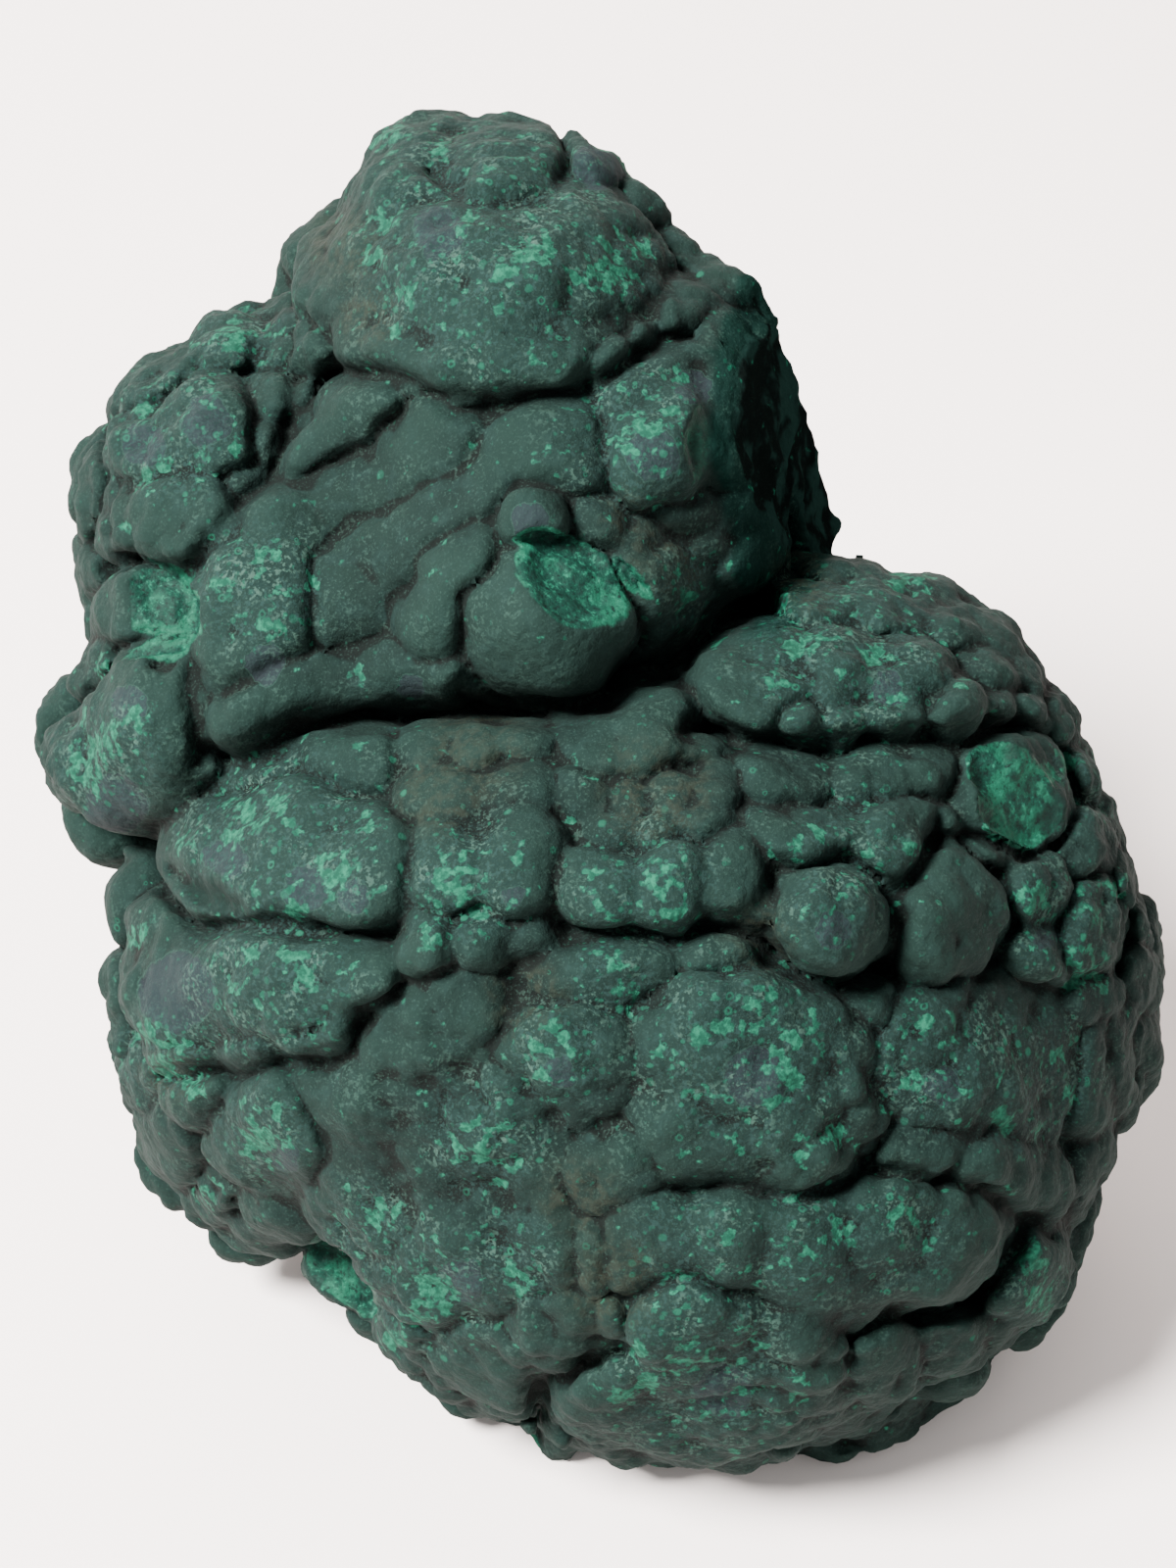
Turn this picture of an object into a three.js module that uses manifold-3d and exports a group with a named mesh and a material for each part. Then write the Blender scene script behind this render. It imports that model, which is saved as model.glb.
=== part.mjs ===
// Malachite specimen: one intergrown lump of nodular malachite, 98 mm wide and 94 mm tall.
// Millimetres, +Z up. The nodular face looks towards -Y, the broken back towards +Y, and the
// stone rests on its flat broken base at z = 0, with the origin under the middle of its box.
import * as THREE from 'three';
import { mergeVertices } from 'three/addons/utils/BufferGeometryUtils.js';
import Module from 'manifold-3d';

// Driving dimensions.
const faceHeight = 52.5; // height of the middle of the nodular face above the base
const faceTilt = THREE.MathUtils.degToRad(40); // the face leans back by this angle
const faceFan = 248.9; // forms narrow towards a point this far out in front of the face
const coreProud = 0.6; // the skin's tops stand this far outside the listed swellings
const coreBlend = 5; // rounding where two core swellings meet
const storeyBlend = 3; // rounding of the gap where the tower stands on the body
const lobeSoftness = 0.5; // width over which one lobe's height gives way to the next
const lobeWindow = 6; // a lobe is felt this far beyond its outline
const domeReach = 1.12; // a lobe's dome would reach the core this many half widths out
const domeShare = 0.8; // share of a lobe's listed bulge that its dome takes
const creaseDepth = 1.3; // depth of the crease between two lobes
const creaseWidth = 0.9; // how fast it opens
const skinSteps = 21; // splits of each edge of the starting icosahedron
const searchRadius = 80; // outside the whole stone, seen from its heart
const searchStep = 1.5; // step of the search inwards for the surface
const halvings = 14; // refinements of each surface point
const heart = new THREE.Vector3(-3, 8, 46); // every part of the skin can be seen from here
const flankLobeCount = 260; // lobes spread over a sphere, kept on the flanks only
const flankTurn = 0.3; // flank lobes start where the skin turns this far from the face
const undersideTurn = -0.3; // and where it turns this far down, under the front
const easing = 0.35; // share of its neighbours' mean radius that each radius takes on

// Swellings of the core in the face frame: [across, up, out, and a radius along each].
const lowerSwellings = [
  [1.5, -15, -9, 40.5, 29, 32],
  [9, -28, -11, 33.5, 28.5, 31],
  [20.5, -3, -14, 21.5, 22, 26],
  [35.5, -16, -16, 11, 18, 20],
  [-27.5, -24, -20, 10.5, 14, 14],
];
const upperSwellings = [
  [-4, 18, -16, 20, 22, 31],
  [-7, 36, -15, 18.5, 19.7, 27],
  [5, 28, -14, 18, 16, 25],
  [9, 33.5, -14, 8, 9.5, 20],
  [-25, 12, -16, 16.5, 24, 22],
  [-29, 24.5, -18, 12.3, 12.6, 19],
  [-34, 3, -14, 10.6, 9.5, 14],
];

// Mass behind the face, in the stone's own axes: [x, y, z, and a radius along each].
const hiddenMass = [
  [-4, 18, 34, 30, 25, 37],
  [5, 6, 6, 28, 24, 20],
];

// Broken faces: a point on the plane and the outward normal.
const backFractures = [
  [[0, 46.5, 50], [0.04, 0.99, 0.06]],
  [[-36, 38, 40], [-0.62, 0.78, 0.05]],
  [[31, 25, 30], [0.66, 0.72, 0.2]],
];
// The tower's right side, in the face frame: it is broken off along a steep plane.
const towerFracture = [[13.4, 30, 8], [0.949, 0.13, 0.285]];

// Lobes of the skin: [across, up, half width, half height, turn in degrees, rise, bulge].
// The crown, with its rolled lower lip.
const crownLobes = [
  [-8.5, 41, 12.6, 7.6, 0, 3, 4],
  [-19.2, 41, 5.4, 6.6, 20, 1.8, 3],
  [2, 42.4, 6.4, 6.6, -35, 2.2, 3.4],
  [-14.5, 35.2, 7.6, 3.2, 2, 3.8, 2.6],
  [-4.4, 34.4, 6, 3.4, 14, 4, 2.8],
  [-15.8, 48, 4.8, 5.4, -20, 1.4, 2.8],
  [-3.6, 47.4, 7.4, 3.6, 0, 1.6, 2.6],
  [-7, 51.8, 5.2, 3.5, 0, 3, 3.2],
  [1.2, 51.2, 3.6, 3.6, -20, 1.6, 2.6],
  [7.6, 39.2, 3.4, 3, 30, 2.8, 2.6],
];

// The left shoulder.
const shoulderLobes = [
  [-31.8, 29.4, 4.8, 4.5, 0, 3.8, 3.6],
  [-36, 27.6, 3.6, 3.7, 0, 3, 3],
  [-33.6, 21.7, 4.8, 3.8, 0, 3.6, 3.2],
  [-36.8, 14, 4.8, 3.4, 5, 2, 2.8],
];

// Folds that run down the tower.
const foldLobes = [
  [-19.9, 28.6, 5.2, 2.4, 52, 4.4, 2.2],
  [-13.6, 27.8, 6.6, 3.8, 42, 2.8, 3],
  [-19.6, 23.8, 5.2, 3.8, 42, 3.2, 3],
  [-25, 20.4, 5, 4.6, 45, 4, 3.6],
  [-27.3, 15.6, 6.2, 6.4, -10, 4.8, 4.6],
  [-29, 11.2, 3.9, 3.3, 20, 4.6, 3.2],
  [-3, 27.2, 5, 4.2, -10, 2.8, 3.4],
  [-8.6, 25, 4.4, 3.2, 30, 2.8, 2.8],
  [-13.2, 22.2, 4.4, 3.2, 35, 3, 2.8],
  [-17.4, 18.8, 4, 3.6, 45, 3.4, 3],
  [-19.6, 14.6, 4.2, 4.4, 20, 4, 3.4],
  [5.6, 28, 4.6, 4.8, -10, 3.8, 3.6],
  [5.4, 33.2, 5.4, 3, 35, 2.6, 2.6],
  [-4.2, 21.4, 3.1, 2.8, 0, 4.4, 2.8],
  [6.4, 16.4, 4.3, 3.6, -10, 3, 2.8],
];

// The big cut lobe and the fold beside it.
const cutLobes = [
  [-3.3, 12, 7.2, 6.2, -5, 7, 5.4],
  [-12.4, 13, 4, 4.6, 5, 4.4, 3.6],
  [-10.6, 17.4, 3.8, 3.4, -35, 4, 3],
];

// The long sausage under the folds.
const sausageLobes = [
  [-28, 5.6, 3.6, 3.1, 0, 4.8, 3],
  [-24.4, 6.8, 3.4, 2.9, 15, 4.6, 2.8],
  [-20.4, 8.2, 3.8, 3, 15, 4.6, 2.8],
  [-16, 9, 3.8, 3.1, 10, 4.8, 2.8],
  [-12, 9, 3.4, 3, 5, 4.8, 2.8],
];

// The bulge on the left.
const leftBulgeLobes = [
  [-37.2, 4, 7.6, 5.8, 50, 5.6, 5.4],
  [-41.8, 1.8, 3, 4.6, -10, 3.6, 3.6],
  [-38.4, -1.2, 3.8, 3.2, 15, 4.4, 3.2],
  [-34, 8.6, 3.6, 3.2, 40, 3.6, 2.8],
];

// The shelf across the middle, from the left.
const shelfLobes = [
  [-20.4, 2.4, 5.2, 2.9, 5, 2, 2.6],
  [-32, -4.4, 4.6, 4.6, -20, 2.8, 3.4],
  [-26, -3.6, 6.2, 4.8, 0, 3.2, 3.6],
  [-19.8, -5.8, 5.4, 5.4, 0, 3.2, 3.8],
  [-27.4, -8.4, 6.2, 3, -22, 3.4, 2.8],
  [-11.4, -6.9, 3.4, 4, 0, 2.8, 3],
  [-5.8, -6.2, 3.4, 4.4, 0, 2.8, 3],
  [5.6, 5.4, 4.6, 4.6, 0, 2.2, 3.4],
  [0.6, 4.6, 4.4, 3.6, 0, 1.6, 2.8],
  [0.8, -8.2, 3.2, 3.8, 0, 2.8, 2.8],
  [6.8, -8.4, 3.8, 3.8, 0, 3, 3],
  [20, -10.8, 4.7, 4.7, 0, 6.4, 4.8],
  [25.2, -5.4, 3.8, 4, 25, 4.2, 3.4],
  [29.8, -10.8, 5, 5.2, 0, 5, 4.6],
  [16.2, 0.8, 3.8, 3.2, 0, 1.6, 2.6],
  [23.4, 0.8, 4.4, 3, 0, 2, 2.4],
];

// The right shoulder, and the knobs down the right edge.
const rightShoulderLobes = [
  [13.4, 9.4, 5.6, 5.2, -5, 5.2, 4],
  [20.2, 9.8, 4.4, 4.4, 0, 4.6, 3.4],
  [26.2, 9.2, 4, 3.8, -15, 4.2, 3],
  [16.8, 5.8, 2.4, 2, -10, 4.4, 1.9],
  [21, 5.4, 2.6, 2, 10, 4.4, 2],
  [25.6, 5.8, 2.8, 2, 10, 4.4, 2],
  [30.2, 6.4, 2.5, 2.6, 0, 4.6, 2.2],
  [35.4, 0, 4.3, 4.5, 20, 5, 3.6],
];

// The tier under the shelf on the left.
const tierLobes = [
  [-33.4, -16.8, 5.4, 5.6, -20, 2.2, 3.6],
  [-26.6, -17, 6.6, 5.2, -5, 2.8, 3.6],
  [-19.8, -15.8, 4, 3.6, 5, 2.4, 2.8],
  [-34.2, -11.8, 4.4, 2.8, -30, 0.8, 2.2],
  [-13.4, -13.4, 3.2, 2.8, 0, 2.8, 2.6],
];

// The belly, and the thin shells at its right edge.
const bellyLobes = [
  [-12.4, -20, 7.2, 4.6, 12, 1.4, 2.8],
  [-19.4, -25.6, 4.6, 5.2, 20, 1.4, 2.8],
  [-9, -28.6, 8, 6, 10, 2, 3.2],
  [-18, -33, 4.6, 4.6, 20, 1.6, 2.8],
  [-12.2, -38.8, 7.6, 6.4, 0, 2.4, 4],
  [-5, -37.6, 4.6, 4.6, 0, 1.8, 3],
  [1, -15.2, 6.6, 3.4, 5, 0.8, 2.4],
  [-1.6, -22.4, 5.4, 5.4, -10, 2.2, 3.6],
  [13.6, -22, 9.6, 7.6, 0, 2.8, 4.2],
  [8.6, -28.8, 5, 3.8, -10, 2.4, 2.8],
  [18.8, -28.2, 5, 4.4, 20, 2.4, 3],
  [2.6, -31, 3.6, 3.4, 0, 1.6, 2.4],
  [28.8, -22.4, 5.4, 6.4, 0, 2.2, 3.4],
  [35.6, -22.8, 4.8, 6.4, 10, 2, 3.2],
  [34, -31, 4.6, 2.8, 18, 2.2, 2.2],
];

// The foot on the left.
const leftFootLobes = [
  [-34.6, -29, 3.2, 3.1, 10, 1.8, 2.4],
  [-26, -29.2, 5, 4.8, 0, 2.6, 3.4],
  [-26.4, -36.6, 3.8, 3.8, 0, 2, 2.8],
  [-20.8, -40.6, 3, 3.6, 0, 0.4, 2],
  [-2.8, -44.4, 3.6, 3.4, 0, 1.8, 2.6],
  [-8.8, -48.4, 5.2, 4.4, -10, 2, 3.2],
  [-15, -45.2, 3.4, 2.8, -30, 1.2, 2.2],
];

// The two shelves above the foot.
const footLobes = [
  [5.6, -37.8, 4, 4, 20, 1.8, 3],
  [11.6, -37.4, 4, 3.8, 0, 2, 2.8],
  [18.2, -37.8, 4.6, 5, 0, 2.8, 3.4],
  [24.8, -37, 4.2, 4.6, 0, 2.6, 3.2],
  [30.8, -37, 3.8, 3.8, -20, 2.6, 2.8],
  [1.6, -49.6, 4.4, 3.8, -10, 2.4, 3],
  [9, -46.6, 6.6, 4.8, 0, 3.2, 3.8],
  [16.4, -46.8, 4.8, 4.4, 0, 2.6, 3.2],
  [9, -52.6, 7, 4, 0, 2.4, 3],
  [16.6, -50.6, 4.4, 3, 20, 1.8, 2.4],
  [24.2, -47.4, 3.8, 3.6, 15, 1.8, 2.4],
  [36.2, -41, 3.2, 4.2, -15, 2, 2.8],
];

// All the lobes of the upper storey, and of the lower one.
const upperLobes = [
  ...crownLobes, ...shoulderLobes, ...foldLobes, ...cutLobes, ...sausageLobes, ...leftBulgeLobes,
];
const lowerLobes = [
  ...shelfLobes, ...rightShoulderLobes, ...tierLobes, ...bellyLobes, ...leftFootLobes, ...footLobes,
];

const sinTilt = Math.sin(faceTilt);
const cosTilt = Math.cos(faceTilt);

// The face frame: across, up the face, straight out of it, and the fan's narrowing there.
function toFace(point) {
  const rise = point.z - faceHeight;
  const out = rise * sinTilt - point.y * cosTilt;
  const narrowing = 1 - out / faceFan;
  const up = (point.y * sinTilt + rise * cosTilt) / narrowing;
  return { across: point.x / narrowing, up, out, narrowing };
}

// How far out the front of the core stands at a place on the face.
function frontOfCore(across, up) {
  const fronts = [...lowerSwellings, ...upperSwellings].map(([ca, cu, co, ra, ru, ro]) => {
    const inside = 1 - ((across - ca) / ra) ** 2 - ((up - cu) / ru) ** 2;
    return inside > 0 ? co + ro * Math.sqrt(inside) : co + 30 * inside;
  });
  return Math.max(...fronts);
}

// Signed distance to an ellipsoid, from offsets and radii along its own axes.
function ellipsoidDistance(dx, dy, dz, rx, ry, rz) {
  const reach = Math.hypot(dx / rx, dy / ry, dz / rz);
  const slope = Math.hypot(dx / rx ** 2, dy / ry ** 2, dz / rz ** 2);
  return slope > 0 ? (reach * (reach - 1)) / slope : -Math.min(rx, ry, rz);
}

// How far a lobe's dome has sunk below its top, this many half widths out.
function domeDip(reach, bulge) {
  const share = Math.min(reach / domeReach, 1);
  return domeShare * bulge * (1 - Math.sqrt(1 - share * share));
}

function smoothUnion(a, b, blend) {
  const overlap = Math.max(blend - Math.abs(a - b), 0) / blend;
  return Math.min(a, b) - (overlap * overlap * blend) / 4;
}

// A lobe of the face, ready to measure against: it reaches deeper where the core is steep.
function makeFaceLobe([across, up, halfWidth, halfHeight, turn, rise, bulge]) {
  const angle = THREE.MathUtils.degToRad(turn);
  const slopeAcross = Math.abs(frontOfCore(across + 1, up) - frontOfCore(across - 1, up));
  const slopeUp = Math.abs(frontOfCore(across, up + 1) - frontOfCore(across, up - 1));
  const deepening = 1.3 + Math.min((slopeAcross + slopeUp) / 2, 1.5);
  return {
    across,
    up,
    out: frontOfCore(across, up) + rise,
    cos: Math.cos(angle),
    sin: Math.sin(angle),
    rx: halfWidth,
    ry: halfHeight,
    rz: Math.max(halfWidth, halfHeight) * deepening,
    rise,
    bulge,
  };
}

// How far a place is from a lobe's outline, and how far the lobe's dome has sunk there.
function measureFaceLobe(lobe, face) {
  const across = face.across - lobe.across;
  const up = face.up - lobe.up;
  const along = lobe.cos * across + lobe.sin * up;
  const beside = lobe.cos * up - lobe.sin * across;
  const inward = face.out - lobe.out;
  const reach = Math.hypot(along / lobe.rx, beside / lobe.ry, inward / lobe.rz);
  const away = ellipsoidDistance(along, beside, inward, lobe.rx, lobe.ry, lobe.rz);
  return { away, rise: lobe.rise, dip: domeDip(reach, lobe.bulge) };
}

function measureFlankLobe(lobe, point) {
  const reach = point.distanceTo(lobe.centre);
  return { away: reach - lobe.radius, rise: 0, dip: domeDip(reach / lobe.radius, 0.8 * lobe.radius) };
}

// How far the skin rises over the core and dips below that: each place takes both from the
// nearest lobes, and creases run where the two nearest are equally far.
function skinHeight(lobes, flankLobes, face, point) {
  const measures = lobes.map((lobe) => measureFaceLobe(lobe, face));
  measures.push(...flankLobes.map((lobe) => measureFlankLobe(lobe, point)));
  let weight = Math.exp(-lobeWindow / lobeSoftness);
  let rise = 0;
  let dip = 0;
  let nearest = lobeWindow;
  let second = lobeWindow;
  for (const lobe of measures) {
    second = Math.min(second, Math.max(nearest, lobe.away));
    nearest = Math.min(nearest, lobe.away);
    const share = Math.exp(-lobe.away / lobeSoftness);
    weight += share;
    rise += share * lobe.rise;
    dip += share * lobe.dip;
  }
  const crease = creaseDepth * Math.exp((nearest - second) / creaseWidth);
  return { rise: rise / weight, dip: dip / weight + crease };
}

function massDistance([x, y, z, rx, ry, rz], point) {
  return ellipsoidDistance(point.x - x, point.y - y, point.z - z, rx, ry, rz);
}

function beyondPlane([[px, py, pz], [nx, ny, nz]], x, y, z) {
  return (x - px) * nx + (y - py) * ny + (z - pz) * nz;
}

// Signed distance to the swellings of the core and the mass behind them, raised by a height.
function coreDistance(swellings, face, point, rise) {
  let front = Infinity;
  for (const [ca, cu, co, ra, ru, ro] of swellings) {
    const [rx, ry, rz] = [ra + coreProud, ru + coreProud, ro + coreProud];
    const one = ellipsoidDistance(face.across - ca, face.up - cu, face.out - rise - co, rx, ry, rz);
    front = smoothUnion(front, one, coreBlend);
  }
  let distance = front * face.narrowing;
  for (const mass of hiddenMass) {
    distance = smoothUnion(distance, massDistance(mass, point), coreBlend);
  }
  return distance;
}

// One storey of the stone: its core under a skin of lobes.
function storeyDistance(swellings, lobes, flankLobes, face, point) {
  const { rise, dip } = skinHeight(lobes, flankLobes, face, point);
  return coreDistance(swellings, face, point, rise) + dip;
}

function beyondFractures(point) {
  const depths = backFractures.map((plane) => beyondPlane(plane, point.x, point.y, point.z));
  return Math.max(...depths);
}

// The outermost point of a surface on the ray from the heart.
function surfaceAlong(direction, distanceAt) {
  const point = new THREE.Vector3();
  const at = (radius) => point.copy(direction).multiplyScalar(radius).add(heart);
  let outside = searchRadius;
  while (distanceAt(at(outside - searchStep)) > 0) outside -= searchStep;
  let inside = outside - searchStep;
  for (let i = 0; i < halvings; i += 1) {
    const middle = (inside + outside) / 2;
    if (distanceAt(at(middle)) > 0) outside = middle;
    else inside = middle;
  }
  return at(inside).clone();
}

function outwardNormal(point, distanceAt) {
  const reach = 0.5;
  const centre = distanceAt(point);
  const slopes = ['x', 'y', 'z'].map((axis) => {
    const moved = point.clone();
    moved[axis] += reach;
    return distanceAt(moved) - centre;
  });
  return new THREE.Vector3(...slopes).normalize();
}

// Round lobes on the flanks, where the face's own lobes end and before the broken back begins.
function makeFlankLobes() {
  const swellings = [...lowerSwellings, ...upperSwellings];
  const smoothStone = (point) => coreDistance(swellings, toFace(point), point, 0);
  const faceNormal = new THREE.Vector3(0, -cosTilt, sinTilt);
  const goldenAngle = Math.PI * (3 - Math.sqrt(5));
  const lobes = [];
  for (let i = 0; i < flankLobeCount; i += 1) {
    const height = 1 - (2 * (i + 0.5)) / flankLobeCount;
    const ring = Math.sqrt(1 - height * height);
    const angle = goldenAngle * i;
    const direction = new THREE.Vector3(ring * Math.cos(angle), ring * Math.sin(angle), height);
    const centre = surfaceAlong(direction, smoothStone);
    const normal = outwardNormal(centre, smoothStone);
    const turnedAway = normal.dot(faceNormal) < flankTurn || normal.z < undersideTurn;
    if (turnedAway && beyondFractures(centre) < 2 && centre.z > 0) {
      lobes.push({ centre, radius: 4.2 + 2 * Math.sin(i * 2.4) });
    }
  }
  return lobes;
}

// Signed distance to the whole stone without its base: negative inside.
function makeStoneDistance() {
  const lowerShapes = lowerLobes.map(makeFaceLobe);
  const upperShapes = upperLobes.map(makeFaceLobe);
  const flankLobes = makeFlankLobes();
  return (point) => {
    const face = toFace(point);
    const lower = storeyDistance(lowerSwellings, lowerShapes, flankLobes, face, point);
    const tower = storeyDistance(upperSwellings, upperShapes, flankLobes, face, point);
    const cutTower = Math.max(tower, beyondPlane(towerFracture, face.across, face.up, face.out));
    return Math.max(smoothUnion(lower, cutTower, storeyBlend), beyondFractures(point));
  };
}

// Neighbours of each point of an indexed skin.
function findNeighbours(skin) {
  const neighbours = Array.from({ length: skin.getAttribute('position').count }, () => new Set());
  const corners = skin.getIndex().array;
  for (let i = 0; i < corners.length; i += 3) {
    for (let j = 0; j < 3; j += 1) {
      const a = corners[i + j];
      const b = corners[i + ((j + 1) % 3)];
      neighbours[a].add(b);
      neighbours[b].add(a);
    }
  }
  return neighbours;
}

// Draws each radius towards the mean of its neighbours' radii, to take spikes off undercut edges.
function easeRadii(radii, neighbours) {
  return radii.map((radius, i) => {
    let sum = 0;
    for (const neighbour of neighbours[i]) sum += radii[neighbour];
    return radius + easing * (sum / neighbours[i].size - radius);
  });
}

// A closed skin: an icosahedron's fine triangles drawn out or in to the surface of the stone.
function makeSkin() {
  const sphere = new THREE.IcosahedronGeometry(1, skinSteps);
  sphere.deleteAttribute('normal');
  sphere.deleteAttribute('uv');
  const skin = mergeVertices(sphere, 1e-5);
  const stoneDistance = makeStoneDistance();
  const neighbours = findNeighbours(skin);
  const positions = skin.getAttribute('position');
  const directionAt = (i) => new THREE.Vector3().fromBufferAttribute(positions, i).normalize();
  const directions = neighbours.map((_, i) => directionAt(i));
  const radii = directions.map((direction) => surfaceAlong(direction, stoneDistance).distanceTo(heart));
  const easedRadii = easeRadii(radii, neighbours);
  directions.forEach((direction, i) => {
    const point = direction.multiplyScalar(easedRadii[i]).add(heart);
    positions.setXYZ(i, point.x, point.y, point.z);
  });
  return skin;
}

// Everything below z = 0, to be cut away.
function makeGround() {
  const span = 3 * searchRadius;
  const ground = new THREE.BoxGeometry(span, span, span);
  ground.translate(0, 0, -span / 2);
  ground.deleteAttribute('normal');
  ground.deleteAttribute('uv');
  return mergeVertices(ground, 1e-5);
}

function toSolid(wasm, geometry) {
  const vertProperties = new Float32Array(geometry.getAttribute('position').array);
  const triVerts = new Uint32Array(geometry.getIndex().array);
  return new wasm.Manifold(new wasm.Mesh({ numProp: 3, vertProperties, triVerts }));
}

function toGeometry(solid) {
  const mesh = solid.getMesh();
  const geometry = new THREE.BufferGeometry();
  geometry.setAttribute('position', new THREE.BufferAttribute(new Float32Array(mesh.vertProperties), 3));
  geometry.setIndex(new THREE.BufferAttribute(new Uint32Array(mesh.triVerts), 1));
  return geometry;
}

// The skin cut off flat at the base, with the origin moved under the middle of its box.
function makeStone(wasm) {
  const stone = toGeometry(toSolid(wasm, makeSkin()).subtract(toSolid(wasm, makeGround())));
  stone.computeBoundingBox();
  const middle = stone.boundingBox.getCenter(new THREE.Vector3());
  stone.translate(-middle.x, -middle.y, 0);
  stone.computeVertexNormals();
  return stone;
}

const wasm = await Module();
wasm.setup();

const malachiteGreen = new THREE.MeshStandardMaterial({ color: 0x3f6355, roughness: 0.85, metalness: 0 });
const malachite = new THREE.Mesh(makeStone(wasm), malachiteGreen);
malachite.name = 'malachite';

const specimen = new THREE.Group();
specimen.add(malachite);

export default specimen;
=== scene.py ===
# Malachite specimen: the looks of one intergrown, nodular stone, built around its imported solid.
import math

import bpy
import numpy as np
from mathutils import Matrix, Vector


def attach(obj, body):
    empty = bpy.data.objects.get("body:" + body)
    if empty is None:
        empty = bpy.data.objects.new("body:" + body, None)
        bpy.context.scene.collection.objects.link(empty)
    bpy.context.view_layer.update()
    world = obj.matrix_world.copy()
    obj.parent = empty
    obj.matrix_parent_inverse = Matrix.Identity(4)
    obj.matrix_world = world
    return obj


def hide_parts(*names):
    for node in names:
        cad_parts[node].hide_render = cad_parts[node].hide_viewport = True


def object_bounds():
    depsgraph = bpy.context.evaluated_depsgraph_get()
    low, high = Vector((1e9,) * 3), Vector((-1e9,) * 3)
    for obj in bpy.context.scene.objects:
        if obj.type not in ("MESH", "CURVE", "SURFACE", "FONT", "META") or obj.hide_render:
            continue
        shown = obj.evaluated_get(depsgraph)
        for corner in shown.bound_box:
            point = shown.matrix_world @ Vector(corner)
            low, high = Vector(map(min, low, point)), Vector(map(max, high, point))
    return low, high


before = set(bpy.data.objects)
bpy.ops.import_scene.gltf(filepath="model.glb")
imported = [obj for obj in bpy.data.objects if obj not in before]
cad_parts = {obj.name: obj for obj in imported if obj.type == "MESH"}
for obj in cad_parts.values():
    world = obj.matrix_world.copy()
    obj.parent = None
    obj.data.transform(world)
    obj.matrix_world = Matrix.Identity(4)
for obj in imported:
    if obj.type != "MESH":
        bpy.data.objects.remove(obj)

CAD_BOX = [list(corner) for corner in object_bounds()]
MM = 0.001

# --- Driving dimensions, in millimetres and degrees -------------------------------------------
NODE = "malachite"
FACE_HEIGHT = 52.5      # height of the middle of the nodular face above the base
FACE_TILT = 40.0        # the face leans back by this angle, and the camera looks straight at it
FACE_FAN = 248.9        # forms narrow towards a point this far out in front of the face: the camera
GRID_STEP = 0.45        # cell of the grid that the stone is sculpted on
GRID_MARGIN = 4.0       # empty space kept around the stone
TRIANGLE_LIMIT = 196000
CORE_PROUD = 0.6        # the skin's tops stand this far outside the listed swellings
CORE_BLEND = 5.0        # rounding where two core swellings meet
STOREY_BLEND = 0.5      # rounding of the gap where the tower stands on the body
DOME_REACH = 1.3        # a lobe's dome would reach the core this many half widths out
BALL_REACH = 1.1        # the same for the balls, which are rounder
BALL_FIRMNESS = 1.8     # how firmly a ball keeps its own outline against its neighbours
DOME_SHARE = 0.65       # share of a lobe's listed bulge that its dome takes
CREASE_DEPTH = 0.85     # depth of the dark crease between two groups of lobes
BELLY_CALM = 0.35       # share of that depth that the belly's creases lack
CREASE_WIDTH = 0.26     # how fast it opens
STEP_CREASE = 0.65      # extra crease depth for each millimetre that the groups stand apart
INNER_CREASE_WIDTH = 0.5    # the same two for the lobes inside a group
INNER_STEP_CREASE = 0.4
GROUP_SOFTNESS = 0.33   # width over which one group's height gives way to the next
LAYER_STEP = 2.2        # thickness of the layers that show on broken faces
LOBE_PUSH = 0.35        # how far a lobe's outline grows for each millimetre it stands out
LOBE_WINDOW = 4.0       # a lobe is felt this far beyond its outline
LARGEST_SHARE = 14.0    # deeper inside a lobe than this, its share of the skin grows no more
RELIEF_ROUNDS = 6       # smoothing rounds that set off the creases from the lobes
FORM_ROUNDS = 60        # and those that set off the lobes from the large forms
SEED = 20

# --- Camera and light: millimetres for the lens, metres and watts for the light -------------------
LENS = 70
SENSOR_WIDTH = 36
WINDOW_PLACE = (-0.6, -0.36, 0.95)
WINDOW_TARGET = (0, 0, 0.04)
WINDOW_SIZE = 0.42
WINDOW_POWER = 120.0
WINDOW_TINT = (1.0, 0.97, 0.94)
ROOM_TINT = (1.0, 0.98, 0.97, 1.0)
ROOM_STRENGTH = 1.15
SHEET_TINT = (0.72, 0.668, 0.65, 1.0)

# --- The stone's large forms, in the face frame: across, up, out of the face ---------------------
# Swellings of the core: (across, up, out, and a radius along each).
LOWER_SWELLINGS = (
    (1.5, -15, -9, 40.5, 29, 32),
    (9, -28, -11, 33.5, 28.5, 31),
    (20.5, -3, -14, 21.5, 22, 26),
    (35.5, -16, -16, 11, 18, 20),
    (-27.5, -24, -20, 10.5, 14, 14),
)
UPPER_SWELLINGS = (
    (-4, 18, -16, 20, 22, 31),
    (-7, 36, -15, 18.5, 19.7, 27),
    (5, 28, -14, 18, 16, 25),
    (9, 33.5, -14, 8, 9.5, 20),
    (-25, 12, -16, 16.5, 24, 22),
    (-29, 24.5, -18, 12.3, 12.6, 19),
    (-34, 3, -14, 10.6, 9.5, 14),
)
# Mass behind the face, in the stone's own axes: (x, y, z, and a radius along each).
HIDDEN_MASS = (
    (-4, 18, 34, 30, 25, 37),
    (5, 6, 6, 28, 24, 20),
    (12, 26, 47, 10, 15, 11),
)
# Broken faces at the back: a point on the plane and the outward normal.
BACK_FRACTURES = (
    ((0, 46.5, 50), (0.04, 0.99, 0.06)),
    ((-36, 38, 40), (-0.62, 0.78, 0.05)),
    ((31, 25, 30), (0.66, 0.72, 0.2)),
)
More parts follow.
